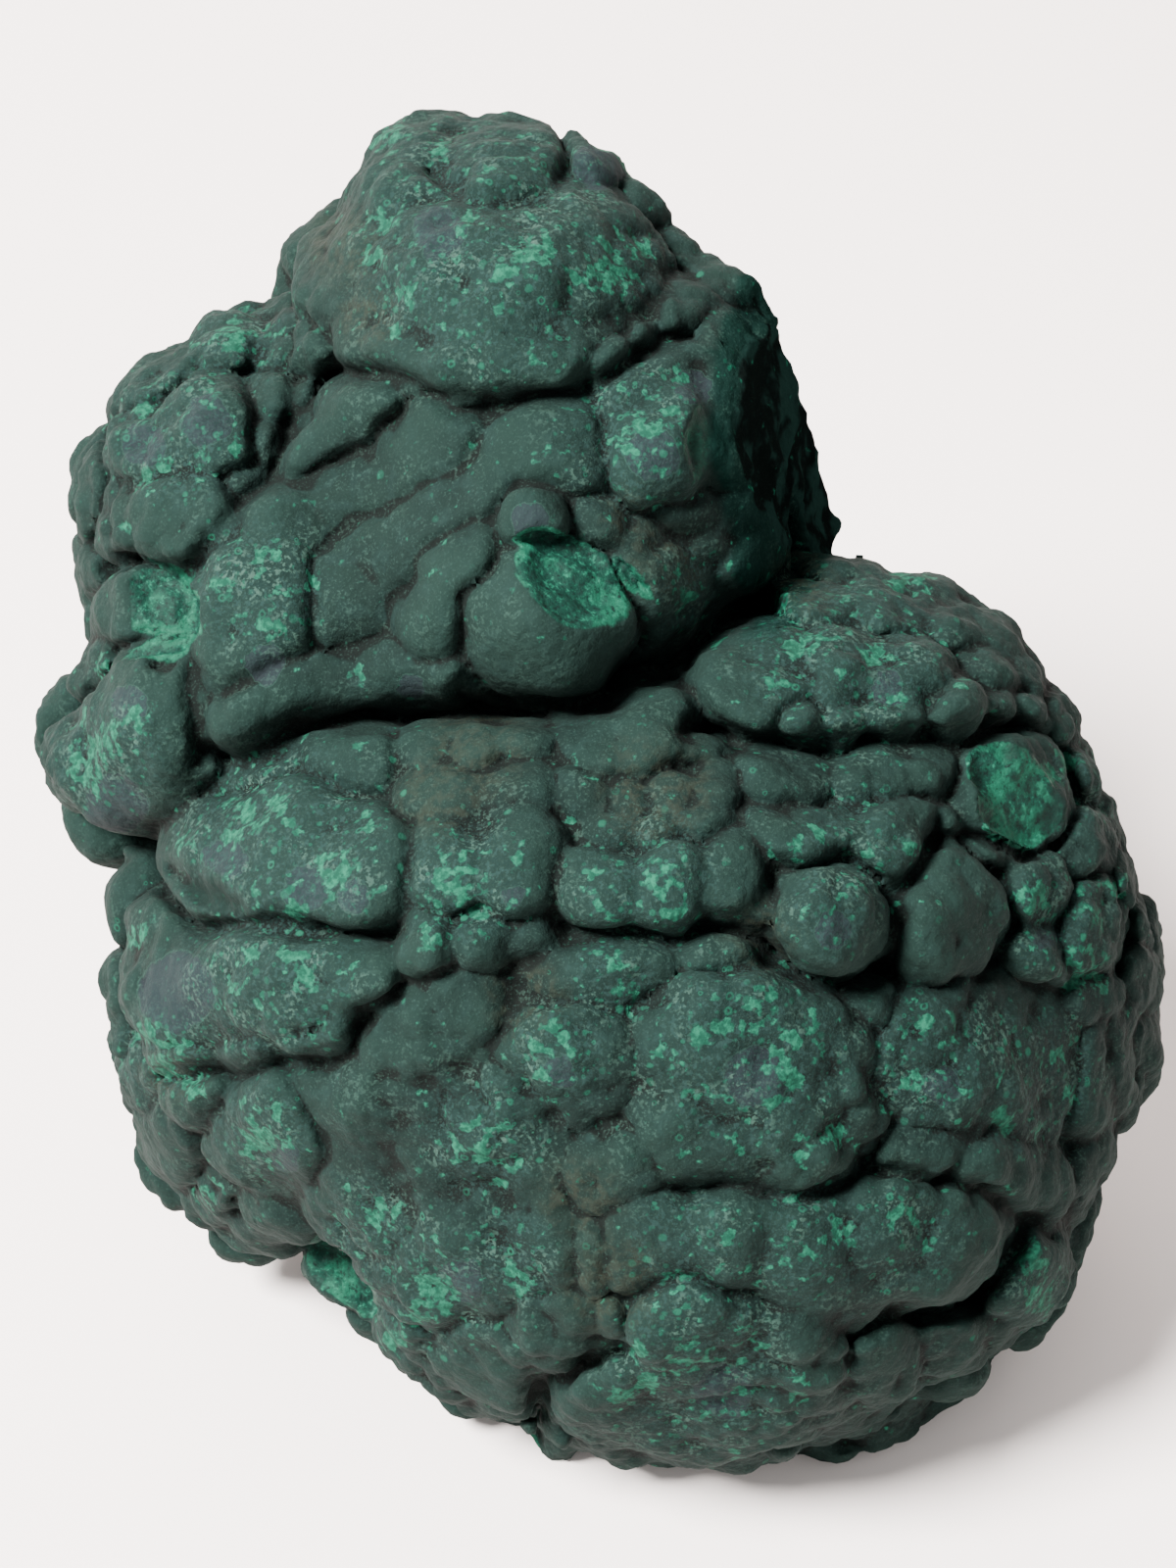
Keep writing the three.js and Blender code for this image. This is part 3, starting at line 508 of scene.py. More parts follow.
# --- Markings of the skin, each (across, up, radius) in the face frame ----------------------------
BRIGHT_MARKS = (
    # crown
    (-12.0, 51.7, 0.9), (-16.5, 53.0, 1.6), (-16.5, 46.0, 0.8), (-15.0, 40.0, 1.0), (2.0, 42.0, 1.7),
    (-5.0, 43.0, 1.4), (-6.8, 41.4, 1.0), (-3.4, 44.0, 0.9), (0.8, 54.0, 0.8), (2.6, 52.2, 0.8),
    (4.0, 50.0, 0.7),
    (-9.6, 46.2, 0.6), (4.4, 44.0, 0.8), (-17.5, 43.0, 0.7), (-15.8, 36.8, 0.6), (-1.0, 41.0, 0.8),
    # left shoulder
    (-29.0, 36.5, 1.1), (-36.2, 30.6, 0.8), (-30.6, 32.0, 0.7), (-34.6, 26.0, 0.7), (-29.0, 27.6, 0.5),
    (-38.0, 21.0, 0.6), (-39.8, 9.6, 1.0), (-36.0, 25.0, 0.6), (-31.5, 26.6, 0.5),
    # bulge on the left
    (-36.6, 5.4, 1.0), (-39.8, 3.2, 1.1), (-41.0, 1.2, 1.3), (-40.2, -0.8, 0.8), (-38.8, 4.4, 0.7),
    # folds and cut lobe
    (-26.4, 18.2, 0.7), (-30.4, 15.8, 0.6), (-25.6, 13.2, 0.9), (-22.6, 16.4, 0.6), (-12.6, 17.4, 0.6),
    (-29.8, 12.4, 0.5), (7.4, 33.2, 0.9), (4.6, 29.4, 1.1), (6.6, 30.4, 1.0), (3.2, 27.6, 0.9),
    (-18.9, 8.9, 0.6),
    (-10.5, 27.4, 0.5), (-4.2, 26.6, 0.8), (-1.6, 28.8, 0.6), (11.5, 33.4, 0.8), (8.0, 15.2, 0.7),
    # right end of the shelf, band across it
    (39.0, 1.8, 0.9), (37.8, 0.7, 0.9), (36.6, -0.5, 0.9), (35.4, -1.6, 0.9), (34.2, -2.7, 0.9),
    (33.0, -3.8, 0.9),
    # shelf, left half
    (-27.8, -2.6, 1.1), (-25.4, -1.6, 0.9), (-29.4, -4.4, 0.9), (-24.4, -3.6, 0.8), (-22.4, -6.2, 0.7),
    (-20.4, -7.4, 1.3), (-17.6, -3.4, 0.7), (-24.0, -10.4, 0.9), (-33.2, -4.6, 0.7), (-19.0, 2.6, 0.6),
    (-11.0, -7.8, 1.7), (-5.6, -6.2, 1.0), (-11.8, -10.5, 0.8), (-8.5, -10.5, 0.8), (-17.0, -8.6, 0.6),
    # shelf, right half
    (0.5, -7.0, 0.8), (6.0, -8.0, 1.3), (7.2, -10.2, 0.8), (0.6, -8.9, 0.6), (15.0, -5.3, 0.7),
    (17.0, -5.0, 0.7),
    (18.6, -4.0, 0.6), (23.0, -5.8, 0.6), (26.6, -5.2, 0.7), (36.5, -9.5, 1.3), (41.5, -11.3, 0.8),
    (43.2, -8.3, 1.0), (40.5, -15.5, 1.8), (-1.0, 1.4, 0.5), (0.6, 0.4, 0.4), (-1.6, -2.6, 0.5),
    # right shoulder
    (25.5, 16.9, 1.2), (27.6, 16.4, 1.0), (23.5, 10.4, 0.9), (30.5, 8.0, 0.6), (17.0, 11.2, 1.2),
    (19.2, 11.8, 0.6), (15.5, 8.2, 0.7), (14.8, 15.5, 1.2), (10.6, 11.6, 0.5),
    # tier on the left
    (-24.5, -14.3, 1.0), (-23.0, -16.0, 1.1), (-28.0, -14.0, 0.8), (-28.8, -16.6, 0.6), (-26.6, -18.0, 0.7),
    (-19.3, -15.0, 0.7), (-36.5, -12.3, 1.1), (-35.6, -20.2, 0.9), (-34.0, -21.0, 0.9), (-34.8, -23.0, 1.0),
    (-32.0, -24.8, 1.0), (-12.8, -12.6, 1.0), (-9.8, -13.5, 0.5), (-8.8, -11.8, 0.5),
    # belly
    (2.0, -14.8, 0.7), (3.8, -16.8, 0.7), (-2.5, -19.8, 0.7), (-1.6, -20.9, 0.6), (-3.8, -21.6, 0.7),
    (-3.8, -23.6, 0.6), (0.8, -24.3, 0.5), (5.7, -22.0, 0.8), (7.5, -22.4, 0.6), (9.2, -20.6, 0.7),
    (10.8, -20.0, 0.8), (12.9, -20.4, 0.9), (13.2, -18.0, 0.7), (14.3, -17.0, 0.6), (15.8, -22.5, 1.2),
    (16.8, -20.8, 0.8), (15.2, -19.0, 0.6), (16.6, -24.5, 0.8), (18.3, -18.7, 0.6), (14.9, -26.0, 0.6),
    (12.5, -29.8, 0.6), (7.5, -29.8, 0.6), (17.5, -30.5, 0.8), (20.0, -28.3, 1.0), (21.5, -29.6, 0.7),
    (-9.5, -27.4, 0.8), (-7.2, -28.4, 0.9), (-8.8, -30.2, 0.9), (-6.0, -30.8, 0.6), (-13.3, -25.3, 0.5),
    (-7.0, -32.5, 0.5), (-10.6, -29.4, 0.6), (1.2, -33.0, 0.4), (27.2, -20.0, 0.7), (28.8, -21.4, 0.6),
    (26.6, -24.2, 0.8), (30.5, -25.0, 0.5), (33.5, -27.5, 0.9), (34.6, -33.0, 0.6), (30.6, -27.6, 0.6),
    (38.2, -22.0, 0.8), (37.0, -28.6, 0.6), (39.4, -25.4, 0.6),
    # foot
    (-26.8, -28.9, 1.3), (-27.5, -26.9, 0.6), (-25.0, -27.2, 0.6), (-35.0, -28.2, 0.6), (-31.0, -33.5, 1.2),
    (-16.7, -35.2, 1.1), (-12.6, -41.6, 1.5), (-13.8, -43.0, 0.9), (-16.0, -45.3, 1.0), (-9.0, -36.7, 0.7),
    (-6.2, -39.6, 0.8), (-5.4, -41.2, 0.6), (4.2, -46.2, 0.8), (5.0, -48.6, 0.9), (8.0, -47.0, 1.2),
    (14.0, -45.4, 0.8), (17.0, -48.6, 0.9), (2.5, -50.0, 1.0), (12.0, -54.6, 0.7), (17.2, -50.4, 0.8),
    (25.4, -35.0, 1.0), (20.4, -36.6, 1.0), (17.6, -38.2, 0.8), (27.6, -37.8, 0.7), (13.0, -39.5, 0.6),
    (11.4, -36.8, 0.5), (36.2, -39.0, 1.3), (36.8, -42.0, 1.0), (31.4, -36.6, 0.5),
)
# Where the little bright rounds gather.
CLUSTER_MARKS = (
    (-8.0, 44.0, 11.0), (2.0, 43.0, 4.0), (-33.5, 28.6, 5.5), (-29.0, 36.0, 4.0), (-27.0, 16.0, 5.5),
    (-39.0, 2.5, 4.5), (-25.0, -5.0, 8.0), (-10.0, -8.0, 5.0), (5.0, -8.0, 6.0), (20.0, -10.6, 4.0),
    (22.0, -5.0, 5.0), (38.0, -11.0, 4.5), (21.0, 10.0, 8.0), (4.0, 28.0, 6.0), (-26.0, -16.0, 7.0),
    (-35.0, -22.0, 4.0), (13.5, -22.5, 8.5), (-2.5, -22.0, 4.0), (-8.5, -28.8, 5.0), (28.0, -22.5, 5.5),
    (36.0, -24.0, 6.0), (-26.5, -28.5, 4.0), (-13.0, -41.0, 5.5), (-6.5, -39.0, 4.0), (9.0, -48.0, 7.5),
    (18.0, -37.5, 5.0), (26.0, -37.0, 4.5), (8.0, -37.5, 4.5), (36.0, -41.0, 3.5), (9.0, 15.5, 4.0),
    (40.0, 0.0, 4.0), (2.0, -16.0, 3.5), (-18.0, -36.0, 3.5),
)
# Worn patches of lilac-grey, and places dusted with tan.
GREY_MARKS = (
    (-31.2, 29.6, 2.2), (-36.2, 27.6, 1.8), (5.4, 27.0, 2.4), (-4.6, 21.2, 1.7), (-33.4, -17.0, 3.2),
    (-38.6, -1.6, 2.6), (-29.6, -6.0, 1.8), (-23.0, -8.6, 2.0), (-19.0, -9.3, 1.5), (-6.0, -9.3, 1.0),
    (8.6, 32.4, 1.6), (1.0, 50.6, 2.2), (20.0, -12.0, 1.6), (-26.4, 9.6, 1.6), (13.6, -24.0, 2.6),
    (-24.6, -30.4, 1.4), (11.0, -49.6, 2.4), (-2.4, -23.6, 1.4), (29.0, -24.6, 1.6), (-12.0, 45.0, 2.2),
    (-37.5, 6.6, 1.6), (37.4, -12.8, 1.0), (-10.4, -40.6, 1.8), (-14.6, 8.0, 1.2), (24.6, 7.8, 1.4),
)
TAN_MARKS = (
    (6.0, 18.0, 3.0), (3.0, 22.0, 2.0), (5.6, -0.4, 4.4), (-5.0, -17.5, 3.0), (14.0, -12.6, 3.0),
    (17.5, 16.5, 2.6), (-9.0, 3.2, 4.0), (-12.0, -0.8, 3.4), (-33.8, -24.0, 2.4), (-20.0, 44.0, 3.0),
    (2.0, -41.0, 4.0), (-0.6, -33.6, 3.0), (-18.0, 38.0, 2.4),
)
# Painted shade: dark colour laid in the hollows under the shoulder and the shelf, and on facets turned from
# the light.
PAINTED_SHADE_MARKS = (
    (10.0, 27.4, 2.0), (10.4, 25.2, 1.4), (9.4, 29.6, 1.2),
    (34.6, 2.6, 1.0), (36.6, 2.6, 0.8), (38.6, -1.4, 1.2), (37.4, -3.0, 1.0), (35.8, -0.2, 0.6),
    (34.6, 0.6, 0.5),
    (13.2, 15.6, 2.0), (11.4, 16.0, 1.0), (-31.0, -8.8, 1.3), (-29.4, -9.8, 0.8),
    (23.0, 3.8, 1.0), (25.6, 4.2, 1.0), (14.6, 3.8, 1.0),
)
MARKINGS = (
    # the dark marks carry painted shade, in hollows and on facets turned from the light
    ("dark", PAINTED_SHADE_MARKS, 0.25),
    ("bright", BRIGHT_MARKS, 0.85),
    ("cluster", CLUSTER_MARKS, 0.35),
    ("grey", GREY_MARKS, 0.3),
    ("tan", TAN_MARKS, 0.5),
)

# Flank lobes cover what the face's own lobes don't reach, up to the broken back.
FLANK_LOBES = 260
FLANK_TURN = 0.3        # they start where the skin turns this far from the face
UNDERSIDE_TURN = -0.3   # and where it turns this far down, under the front
FLANK_SCATTER = 0.08    # how far their directions stray from an even spread
FLANK_RADIUS = 4.2
FLANK_RADIUS_SPREAD = 2.0
HEART = (-2.0, 4.0, 40.0)   # the place that they are spread around
FARTHEST_SKIN = 80.0    # no skin is farther from the heart than this
HALVINGS = 26           # times that the search for the skin halves its span

SIN_TILT = math.sin(math.radians(FACE_TILT))
COS_TILT = math.cos(math.radians(FACE_TILT))
OUT_OF_FACE = np.array((0.0, -COS_TILT, SIN_TILT))


# --- Sculpting field: signed distances in millimetres, negative inside --------------------------
def to_face(x, y, z):
    """Across, up and out in the face frame, and the fan's narrowing there."""
    rise = z - FACE_HEIGHT
    out = rise * SIN_TILT - y * COS_TILT
    narrowing = 1 - out / FACE_FAN
    up = (y * SIN_TILT + rise * COS_TILT) / narrowing
    return x / narrowing, up, out, narrowing


def from_face(across, up, out):
    """The place in the stone's own axes of a point given in the face frame."""
    narrowing = 1 - out / FACE_FAN
    y = up * narrowing * SIN_TILT - out * COS_TILT
    z = up * narrowing * COS_TILT + out * SIN_TILT + FACE_HEIGHT
    return np.array((across * narrowing, y, z))


def front_of_core(across, up):
    """How far out the front of the core stands at a place on the face."""
    fronts = []
    for ca, cu, co, ra, ru, ro in LOWER_SWELLINGS + UPPER_SWELLINGS:
        inside = 1 - ((across - ca) / ra) ** 2 - ((up - cu) / ru) ** 2
        fronts.append(co + ro * math.sqrt(inside) if inside > 0 else co + 30 * inside)
    return max(fronts)


def ellipsoid_distance(dx, dy, dz, radii):
    """Distance to an ellipsoid from offsets along its own axes."""
    rx, ry, rz = radii
    reach = lobe_reach(dx, dy, dz, radii)
    slope = np.sqrt((dx / rx ** 2) ** 2 + (dy / ry ** 2) ** 2 + (dz / rz ** 2) ** 2)
    return reach * (reach - 1) / np.maximum(slope, 1e-6)


def lobe_reach(dx, dy, dz, radii):
    """How many radii out a point lies: 1 on the lobe's outline."""
    rx, ry, rz = radii
    return np.sqrt((dx / rx) ** 2 + (dy / ry) ** 2 + (dz / rz) ** 2)


def dome_dip(reach, bulge):
    """How far a lobe's dome sinks below its top, where reach is 0 in its middle and 1 at its foot."""
    share = np.minimum(reach, 1)
    return DOME_SHARE * bulge * (1 - np.sqrt(1 - share * share))


def smooth_union(a, b, blend):
    overlap = np.maximum(blend - np.abs(a - b), 0) / blend
    return np.minimum(a, b) - overlap * overlap * blend / 4


def beyond_plane(plane, x, y, z):
    (px, py, pz), (nx, ny, nz) = plane
    return (x - px) * nx + (y - py) * ny + (z - pz) * nz


def swelling_distance(swellings, across, up, out):
    distance = None
    for ca, cu, co, ra, ru, ro in swellings:
        radii = (ra + CORE_PROUD, ru + CORE_PROUD, ro + CORE_PROUD)
        one = ellipsoid_distance(across - ca, up - cu, out - co, radii)
        distance = one if distance is None else smooth_union(distance, one, CORE_BLEND)
    return distance


def mass_distance(x, y, z):
    distance = None
    for cx, cy, cz, rx, ry, rz in HIDDEN_MASS:
        one = ellipsoid_distance(x - cx, y - cy, z - cz, (rx, ry, rz))
        distance = one if distance is None else smooth_union(distance, one, CORE_BLEND)
    return distance


def smooth_stone(x, y, z):
    """The stone with no lobes, fractures or base."""
    across, up, out, _ = to_face(x, y, z)
    face = swelling_distance(LOWER_SWELLINGS + UPPER_SWELLINGS, across, up, out)
    return smooth_union(face, mass_distance(x, y, z), CORE_BLEND)


def beyond_fractures(x, y, z):
    depth = beyond_plane(BACK_FRACTURES[0], x, y, z)
    for plane in BACK_FRACTURES[1:]:
        depth = np.maximum(depth, beyond_plane(plane, x, y, z))
    return depth


def slopes(distance_at, x, y, z, reach=0.5):
    """Unit gradients of a distance at points."""
    gradient = np.stack((
        distance_at(x + reach, y, z) - distance_at(x - reach, y, z),
        distance_at(x, y + reach, z) - distance_at(x, y - reach, z),
        distance_at(x, y, z + reach) - distance_at(x, y, z - reach),
    ), axis=-1)
    return gradient / np.linalg.norm(gradient, axis=-1, keepdims=True)


def flank_lobes():
    """Centres and radii of the round lobes on the flanks."""
    index = np.arange(FLANK_LOBES)
    rise = 1 - 2 * (index + 0.5) / FLANK_LOBES
    angle = index * math.pi * (3 - math.sqrt(5))
    ring = np.sqrt(1 - rise * rise)
    directions = np.stack((ring * np.cos(angle), ring * np.sin(angle), rise), axis=-1)
    random = np.random.RandomState(SEED + 3)
    directions += random.uniform(-FLANK_SCATTER, FLANK_SCATTER, size=directions.shape)
    outside = np.full(FLANK_LOBES, FARTHEST_SKIN)
    inside = np.zeros(FLANK_LOBES)
    for _ in range(HALVINGS):
        middle = (inside + outside) / 2
        x, y, z = (directions * middle[:, None] + HEART).T
        is_out = smooth_stone(x, y, z) > 0
        outside = np.where(is_out, middle, outside)
        inside = np.where(is_out, inside, middle)
    x, y, z = (directions * inside[:, None] + HEART).T
    normals = slopes(smooth_stone, x, y, z)
    turned = (normals @ OUT_OF_FACE < FLANK_TURN) | (normals[:, 2] < UNDERSIDE_TURN)
    kept = turned & (beyond_fractures(x, y, z) < 2) & (z > 0)
    radii = FLANK_RADIUS + FLANK_RADIUS_SPREAD * np.sin(index * 2.4)
    return np.stack((x, y, z), axis=-1)[kept], radii[kept]


class Sculpture:
    """The distance field of the stone on a regular grid."""

    def __init__(self):
        (x0, y0, z0), (x1, y1, z1) = [[c / MM for c in corner] for corner in CAD_BOX]
        half_x = max(-x0, x1) + 2 * GRID_MARGIN
        half_y = max(-y0, y1) + 2 * GRID_MARGIN
        self.low = np.array((-half_x, -half_y, z0 - GRID_MARGIN))
        high = np.array((half_x, half_y, z1 + GRID_MARGIN))
        self.shape = tuple(int(n) for n in np.ceil((high - self.low) / GRID_STEP) + 1)
        axes = [self.low[i] + GRID_STEP * np.arange(self.shape[i]) for i in range(3)]
        self.x = axes[0].astype(np.float32)[:, None, None]
        self.y = axes[1].astype(np.float32)[None, :, None]
        self.z = axes[2].astype(np.float32)[None, None, :]
        across, up, out, narrowing = to_face(self.x, self.y, self.z)
        warp = self.warp()
        self.across = (across + warp[0]).astype(np.float32)
        self.up = (up + warp[1]).astype(np.float32)
        self.out = (out + warp[2]).astype(np.float32)
        self.narrowing = np.broadcast_to(narrowing.astype(np.float32), self.shape)

    def warp(self):
        """Gentle waves that bend every outline a little out of true."""
        random = np.random.RandomState(SEED)
        bends = []
        for _ in range(3):
            bend = 0
            for wavelength, height in ((17.0, 0.4), (9.0, 0.25), (5.0, 0.16), (3.2, 0.1)):
                turn = random.normal(size=3)
                turn *= 2 * math.pi / wavelength / np.linalg.norm(turn)
                phase = random.uniform(0, 2 * math.pi)
                bend = bend + height * np.sin(turn[0] * self.x + turn[1] * self.y + turn[2] * self.z + phase)
            bends.append(bend.astype(np.float32))
        return bends

    def window(self, centre, radius):
        """The slices of the grid within a radius of a point."""
        first = np.floor((centre - radius - self.low) / GRID_STEP).astype(int)
        last = np.ceil((centre + radius - self.low) / GRID_STEP).astype(int) + 1
        return tuple(slice(max(first[i], 0), min(max(last[i], 0), self.shape[i])) for i in range(3))

    def turned(self, here, across, up, turn):
        """Offsets from a place on the face, along and beside a turned axis."""
        cos, sin = math.cos(math.radians(turn)), math.sin(math.radians(turn))
        da = self.across[here] - across
        du = self.up[here] - up
        return cos * da + sin * du, cos * du - sin * da

    def face_lobe(self, lobe, dome_reach=DOME_REACH):
        """A lobe's window, and its distance and dip there."""
        across, up, half_width, half_height, turn, rise, bulge = lobe
        out = front_of_core(across, up) + rise
        size = max(half_width, half_height)
        steepness = abs(front_of_core(across + 1, up) - front_of_core(across - 1, up))
        steepness += abs(front_of_core(across, up + 1) - front_of_core(across, up - 1))
        radii = (half_width, half_height, size * (1.3 + min(steepness / 2, 1.5)))
        here = self.window(from_face(across, up, out), radii[2] + LOBE_WINDOW)
        along, beside = self.turned(here, across, up, turn)
        inward = self.out[here] - out
        distance = ellipsoid_distance(along, beside, inward, radii) - LOBE_PUSH * rise
        return here, distance, dome_dip(lobe_reach(along, beside, inward, radii) / dome_reach, bulge)

    def lay_group(self, skin, group):
        """Joins a group's lobes softly to each other, and lays them on the skin as one."""
        blend, lobes = group
        parts = [self.face_lobe(lobe) for lobe in lobes]
        span = tuple(
            slice(min(here[i].start for here, _, _ in parts), max(here[i].stop for here, _, _ in parts))
            for i in range(3)
        )
        together = Patchwork([s.stop - s.start for s in span], 0.35 * blend)
        for lobe, (here, distance, dip) in zip(lobes, parts):
            starts = [s.start for s in span]
            local = tuple(slice(one.start - start, one.stop - start) for one, start in zip(here, starts))
            together.lay(local, distance, lobe[5], dip)
        inner_crease = max(0.7 - 0.3 * blend, 0.05)
        rise, dip = together.heights(inner_crease, INNER_CREASE_WIDTH, INNER_STEP_CREASE)
        skin.lay(span, together.nearest, rise, dip)

    def open_gap(self, gap):
        """Lowers the skin along a line on the face."""
        half_width, depth, places = gap
        for start, end in zip(places, places[1:]):
            run = (end[0] - start[0], end[1] - start[1])
            length = math.hypot(*run)
            middle = ((start[0] + end[0]) / 2, (start[1] + end[1]) / 2)
            here = self.window(from_face(*middle, front_of_core(*middle) + 2), length / 2 + 7)
            da = self.across[here] - start[0]
            du = self.up[here] - start[1]
            share = np.clip((da * run[0] + du * run[1]) / length ** 2, 0, 1)
            beside2 = (da - share * run[0]) ** 2 + (du - share * run[1]) ** 2
            self.gaps[here] = np.maximum(self.gaps[here], depth * np.exp(-beside2 / half_width ** 2))

    def knock_out(self, field, chip):
        """Breaks a flat chip off the field."""
        across, up, rise, half_width, half_height, turn, lean_across, lean_up = chip
        out = front_of_core(across, up) + rise
        here = self.window(from_face(across, up, out), max(half_width, half_height) + 4)
        along, beside = self.turned(here, across, up, turn)
        lean = lean_across * (self.across[here] - across) + lean_up * (self.up[here] - up)
        steepness = math.sqrt(1 + lean_across ** 2 + lean_up ** 2)
        level = (self.out[here] - out + lean) / steepness
        rim = ellipsoid_distance(along, beside, 0, (half_width, half_height, 1))
        field[here] = np.maximum(field[here], np.minimum(level, -rim))

    def storey(self, swellings, groups, balls, rounds):
        """The skin over some swellings: groups of lobes, balls and the flank's round lobes."""
        skin = Patchwork(self.shape, GROUP_SOFTNESS)
        for group in groups:
            self.lay_group(skin, group)
        for ball in balls:
            here, distance, dip = self.face_lobe(ball, BALL_REACH)
            skin.lay(here, BALL_FIRMNESS * distance, ball[5], dip)
        for centre, radius in zip(*rounds):
            here = self.window(centre, radius + LOBE_WINDOW)
            reach = np.sqrt(
                (self.x[here[0]] - centre[0]) ** 2
                + (self.y[:, here[1]] - centre[1]) ** 2
                + (self.z[:, :, here[2]] - centre[2]) ** 2
            )
            skin.lay(here, reach - radius, 0.0, dome_dip(reach / radius / DOME_REACH, 0.8 * radius))
        crease = CREASE_DEPTH * (1 - BELLY_CALM * smooth_step(-12, -17, self.up))
        rise, dip = skin.heights(crease, CREASE_WIDTH, STEP_CREASE)
        core = swelling_distance(swellings, self.across, self.up, self.out - rise) * self.narrowing
        return smooth_union(core, mass_distance(self.x, self.y, self.z), CORE_BLEND) + dip + self.gaps

    def build(self):
        self.gaps = np.zeros(self.shape, dtype=np.float32)
        for gap in GAPS:
            self.open_gap(gap)
        rounds = flank_lobes()
        upper = self.storey(UPPER_SWELLINGS, UPPER_GROUPS, UPPER_BALLS, rounds)
        lower = self.storey(LOWER_SWELLINGS, LOWER_GROUPS, LOWER_BALLS, rounds)
        skin = smooth_union(lower, upper, STOREY_BLEND)
        tower_cut = beyond_plane(TOWER_FRACTURE, self.across, self.up, self.out)
        field = smooth_union(lower, np.maximum(upper, tower_cut), STOREY_BLEND)
        for chip in CHIPS:
            self.knock_out(field, chip)
        field = np.maximum(field, beyond_fractures(self.x, self.y, self.z))
        field = np.maximum(field, -self.z).astype(np.float32)
        self.cut_depth = (field - skin).astype(np.float32)
        self.field = evened(field)


class Patchwork:
    """Lobes laid side by side on the grid: each place takes its height from the nearest ones."""

    def __init__(self, shape, softness):
        self.softness = softness
        self.nearest = np.full(shape, 30.0, dtype=np.float32)
        self.second = np.full(shape, 30.0, dtype=np.float32)
        self.weight = np.full(shape, math.exp(-5 / softness), dtype=np.float32)
        self.rise = np.zeros(shape, dtype=np.float32)
        self.rise_squared = np.zeros(shape, dtype=np.float32)
        self.dip = np.zeros(shape, dtype=np.float32)

    def lay(self, here, distance, rise, dip):
        nearest = self.nearest[here]
        self.second[here] = np.minimum(self.second[here], np.maximum(nearest, distance))
        self.nearest[here] = np.minimum(nearest, distance)
        share = np.exp(np.minimum(-distance, LARGEST_SHARE) / self.softness)
        self.weight[here] += share
        self.rise[here] += share * rise
        self.rise_squared[here] += share * rise * rise
        self.dip[here] += share * dip

    def heights(self, crease, crease_width, step_crease):
        """How far out the skin stands, and how far it dips below that."""
        rise = self.rise / self.weight
        spread = np.sqrt(np.maximum(self.rise_squared / self.weight - rise * rise, 0))
        border = (self.second - self.nearest) / 2
        dip = self.dip / self.weight + crease * np.exp(-border / crease_width) + step_crease * spread
        return rise, dip


def evened(field):
    """Takes out the steps that are finer than the grid can show."""
    for axis in range(3):
        ahead = np.roll(field, 1, axis)
        behind = np.roll(field, -1, axis)
        field = 0.8 * field + 0.1 * (ahead + behind)
    return field


def surface_net(field, low, step):
    """Points and four-sided faces of the zero surface of a field on a grid."""
    inside = field < 0
    corners = [(i, j, k) for i in (0, 1) for j in (0, 1) for k in (0, 1)]
    nx, ny, nz = (n - 1 for n in field.shape)
    count = np.zeros((nx, ny, nz), dtype=np.int8)
    for i, j, k in corners:
        count += inside[i:i + nx, j:j + ny, k:k + nz]
    cells = np.argwhere((count > 0) & (count < 8))
    numbers = np.full((nx, ny, nz), -1, dtype=np.int64)
    numbers[tuple(cells.T)] = np.arange(len(cells))
    values = {c: field[tuple((cells + c).T)] for c in corners}
    total = np.zeros((len(cells), 3))
    crossings = np.zeros(len(cells))
    for a in corners:
        for axis in range(3):
            if a[axis] == 1:
                continue
            b = tuple(a[i] + (i == axis) for i in range(3))
            va, vb = values[a], values[b]
            crosses = (va < 0) != (vb < 0)
            share = np.where(crosses, va / np.where(crosses, va - vb, 1), 0)
            point = np.array(a, dtype=float) + share[:, None] * np.eye(3)[axis]
            total += point * crosses[:, None]
            crossings += crosses
    points = low + step * (cells + total / crossings[:, None])
    faces = []
    for axis in range(3):
        one, two = [i for i in range(3) if i != axis]
        near = [slice(1, n) for n in (nx, ny, nz)]
        near[axis] = slice(0, (nx, ny, nz)[axis])
        ahead = list(near)
        ahead[axis] = slice(1, (nx, ny, nz)[axis] + 1)
        start, end = inside[tuple(near)], inside[tuple(ahead)]
        for flag, order in ((start & ~end, 1), (~start & end, -1)):
            at = np.argwhere(flag)
            at[:, one] += 1
            at[:, two] += 1
            ring = []
            for step_one, step_two in ((1, 1), (0, 1), (0, 0), (1, 0)):
                cell = at.copy()
                cell[:, one] -= step_one
                cell[:, two] -= step_two
                ring.append(numbers[tuple(cell.T)])
            quad = np.stack(ring, axis=-1)
            if (axis == 1) != (order == -1):
                quad = quad[:, ::-1]
            faces.append(quad)
    return points, np.concatenate(faces)


# --- Noise and relief, on points in millimetres -------------------------------------------------
TABLE_SIZE = 32
NOISE_TABLE = np.random.RandomState(SEED + 1).uniform(-1, 1, size=(TABLE_SIZE,) * 3)
CELL_TABLE = np.random.RandomState(SEED + 2).uniform(0, 1, size=(TABLE_SIZE,) * 3 + (3,))


def lattice(points, size):
    scaled = points / size
    base = np.floor(scaled).astype(int)
    return base, scaled - base


def noise(points, size):
    """Smooth noise from -1 to 1, with lumps of about the given size."""
    base, part = lattice(points, size)
    part = part * part * (3 - 2 * part)
    total = 0
    for corner in np.ndindex(2, 2, 2):
        share = np.prod(np.where(np.array(corner) == 1, part, 1 - part), axis=1)
        index = (base + corner) % TABLE_SIZE
        total = total + share * NOISE_TABLE[tuple(index.T)]
    return total


def bubbles(points, size):
    """Low domes that meet in creases, from 0 in a crease to 1 on a dome."""
    base, _ = lattice(points, size)
    nearest = np.full(len(points), 9.0)
    for shift in np.ndindex(3, 3, 3):
        cell = base + shift - 1
        seed_point = (cell + CELL_TABLE[tuple((cell % TABLE_SIZE).T)]) * size
        nearest = np.minimum(nearest, np.sum((points - seed_point) ** 2, axis=1) / size ** 2)
    return np.clip(1 - nearest / 0.7, 0, 1)


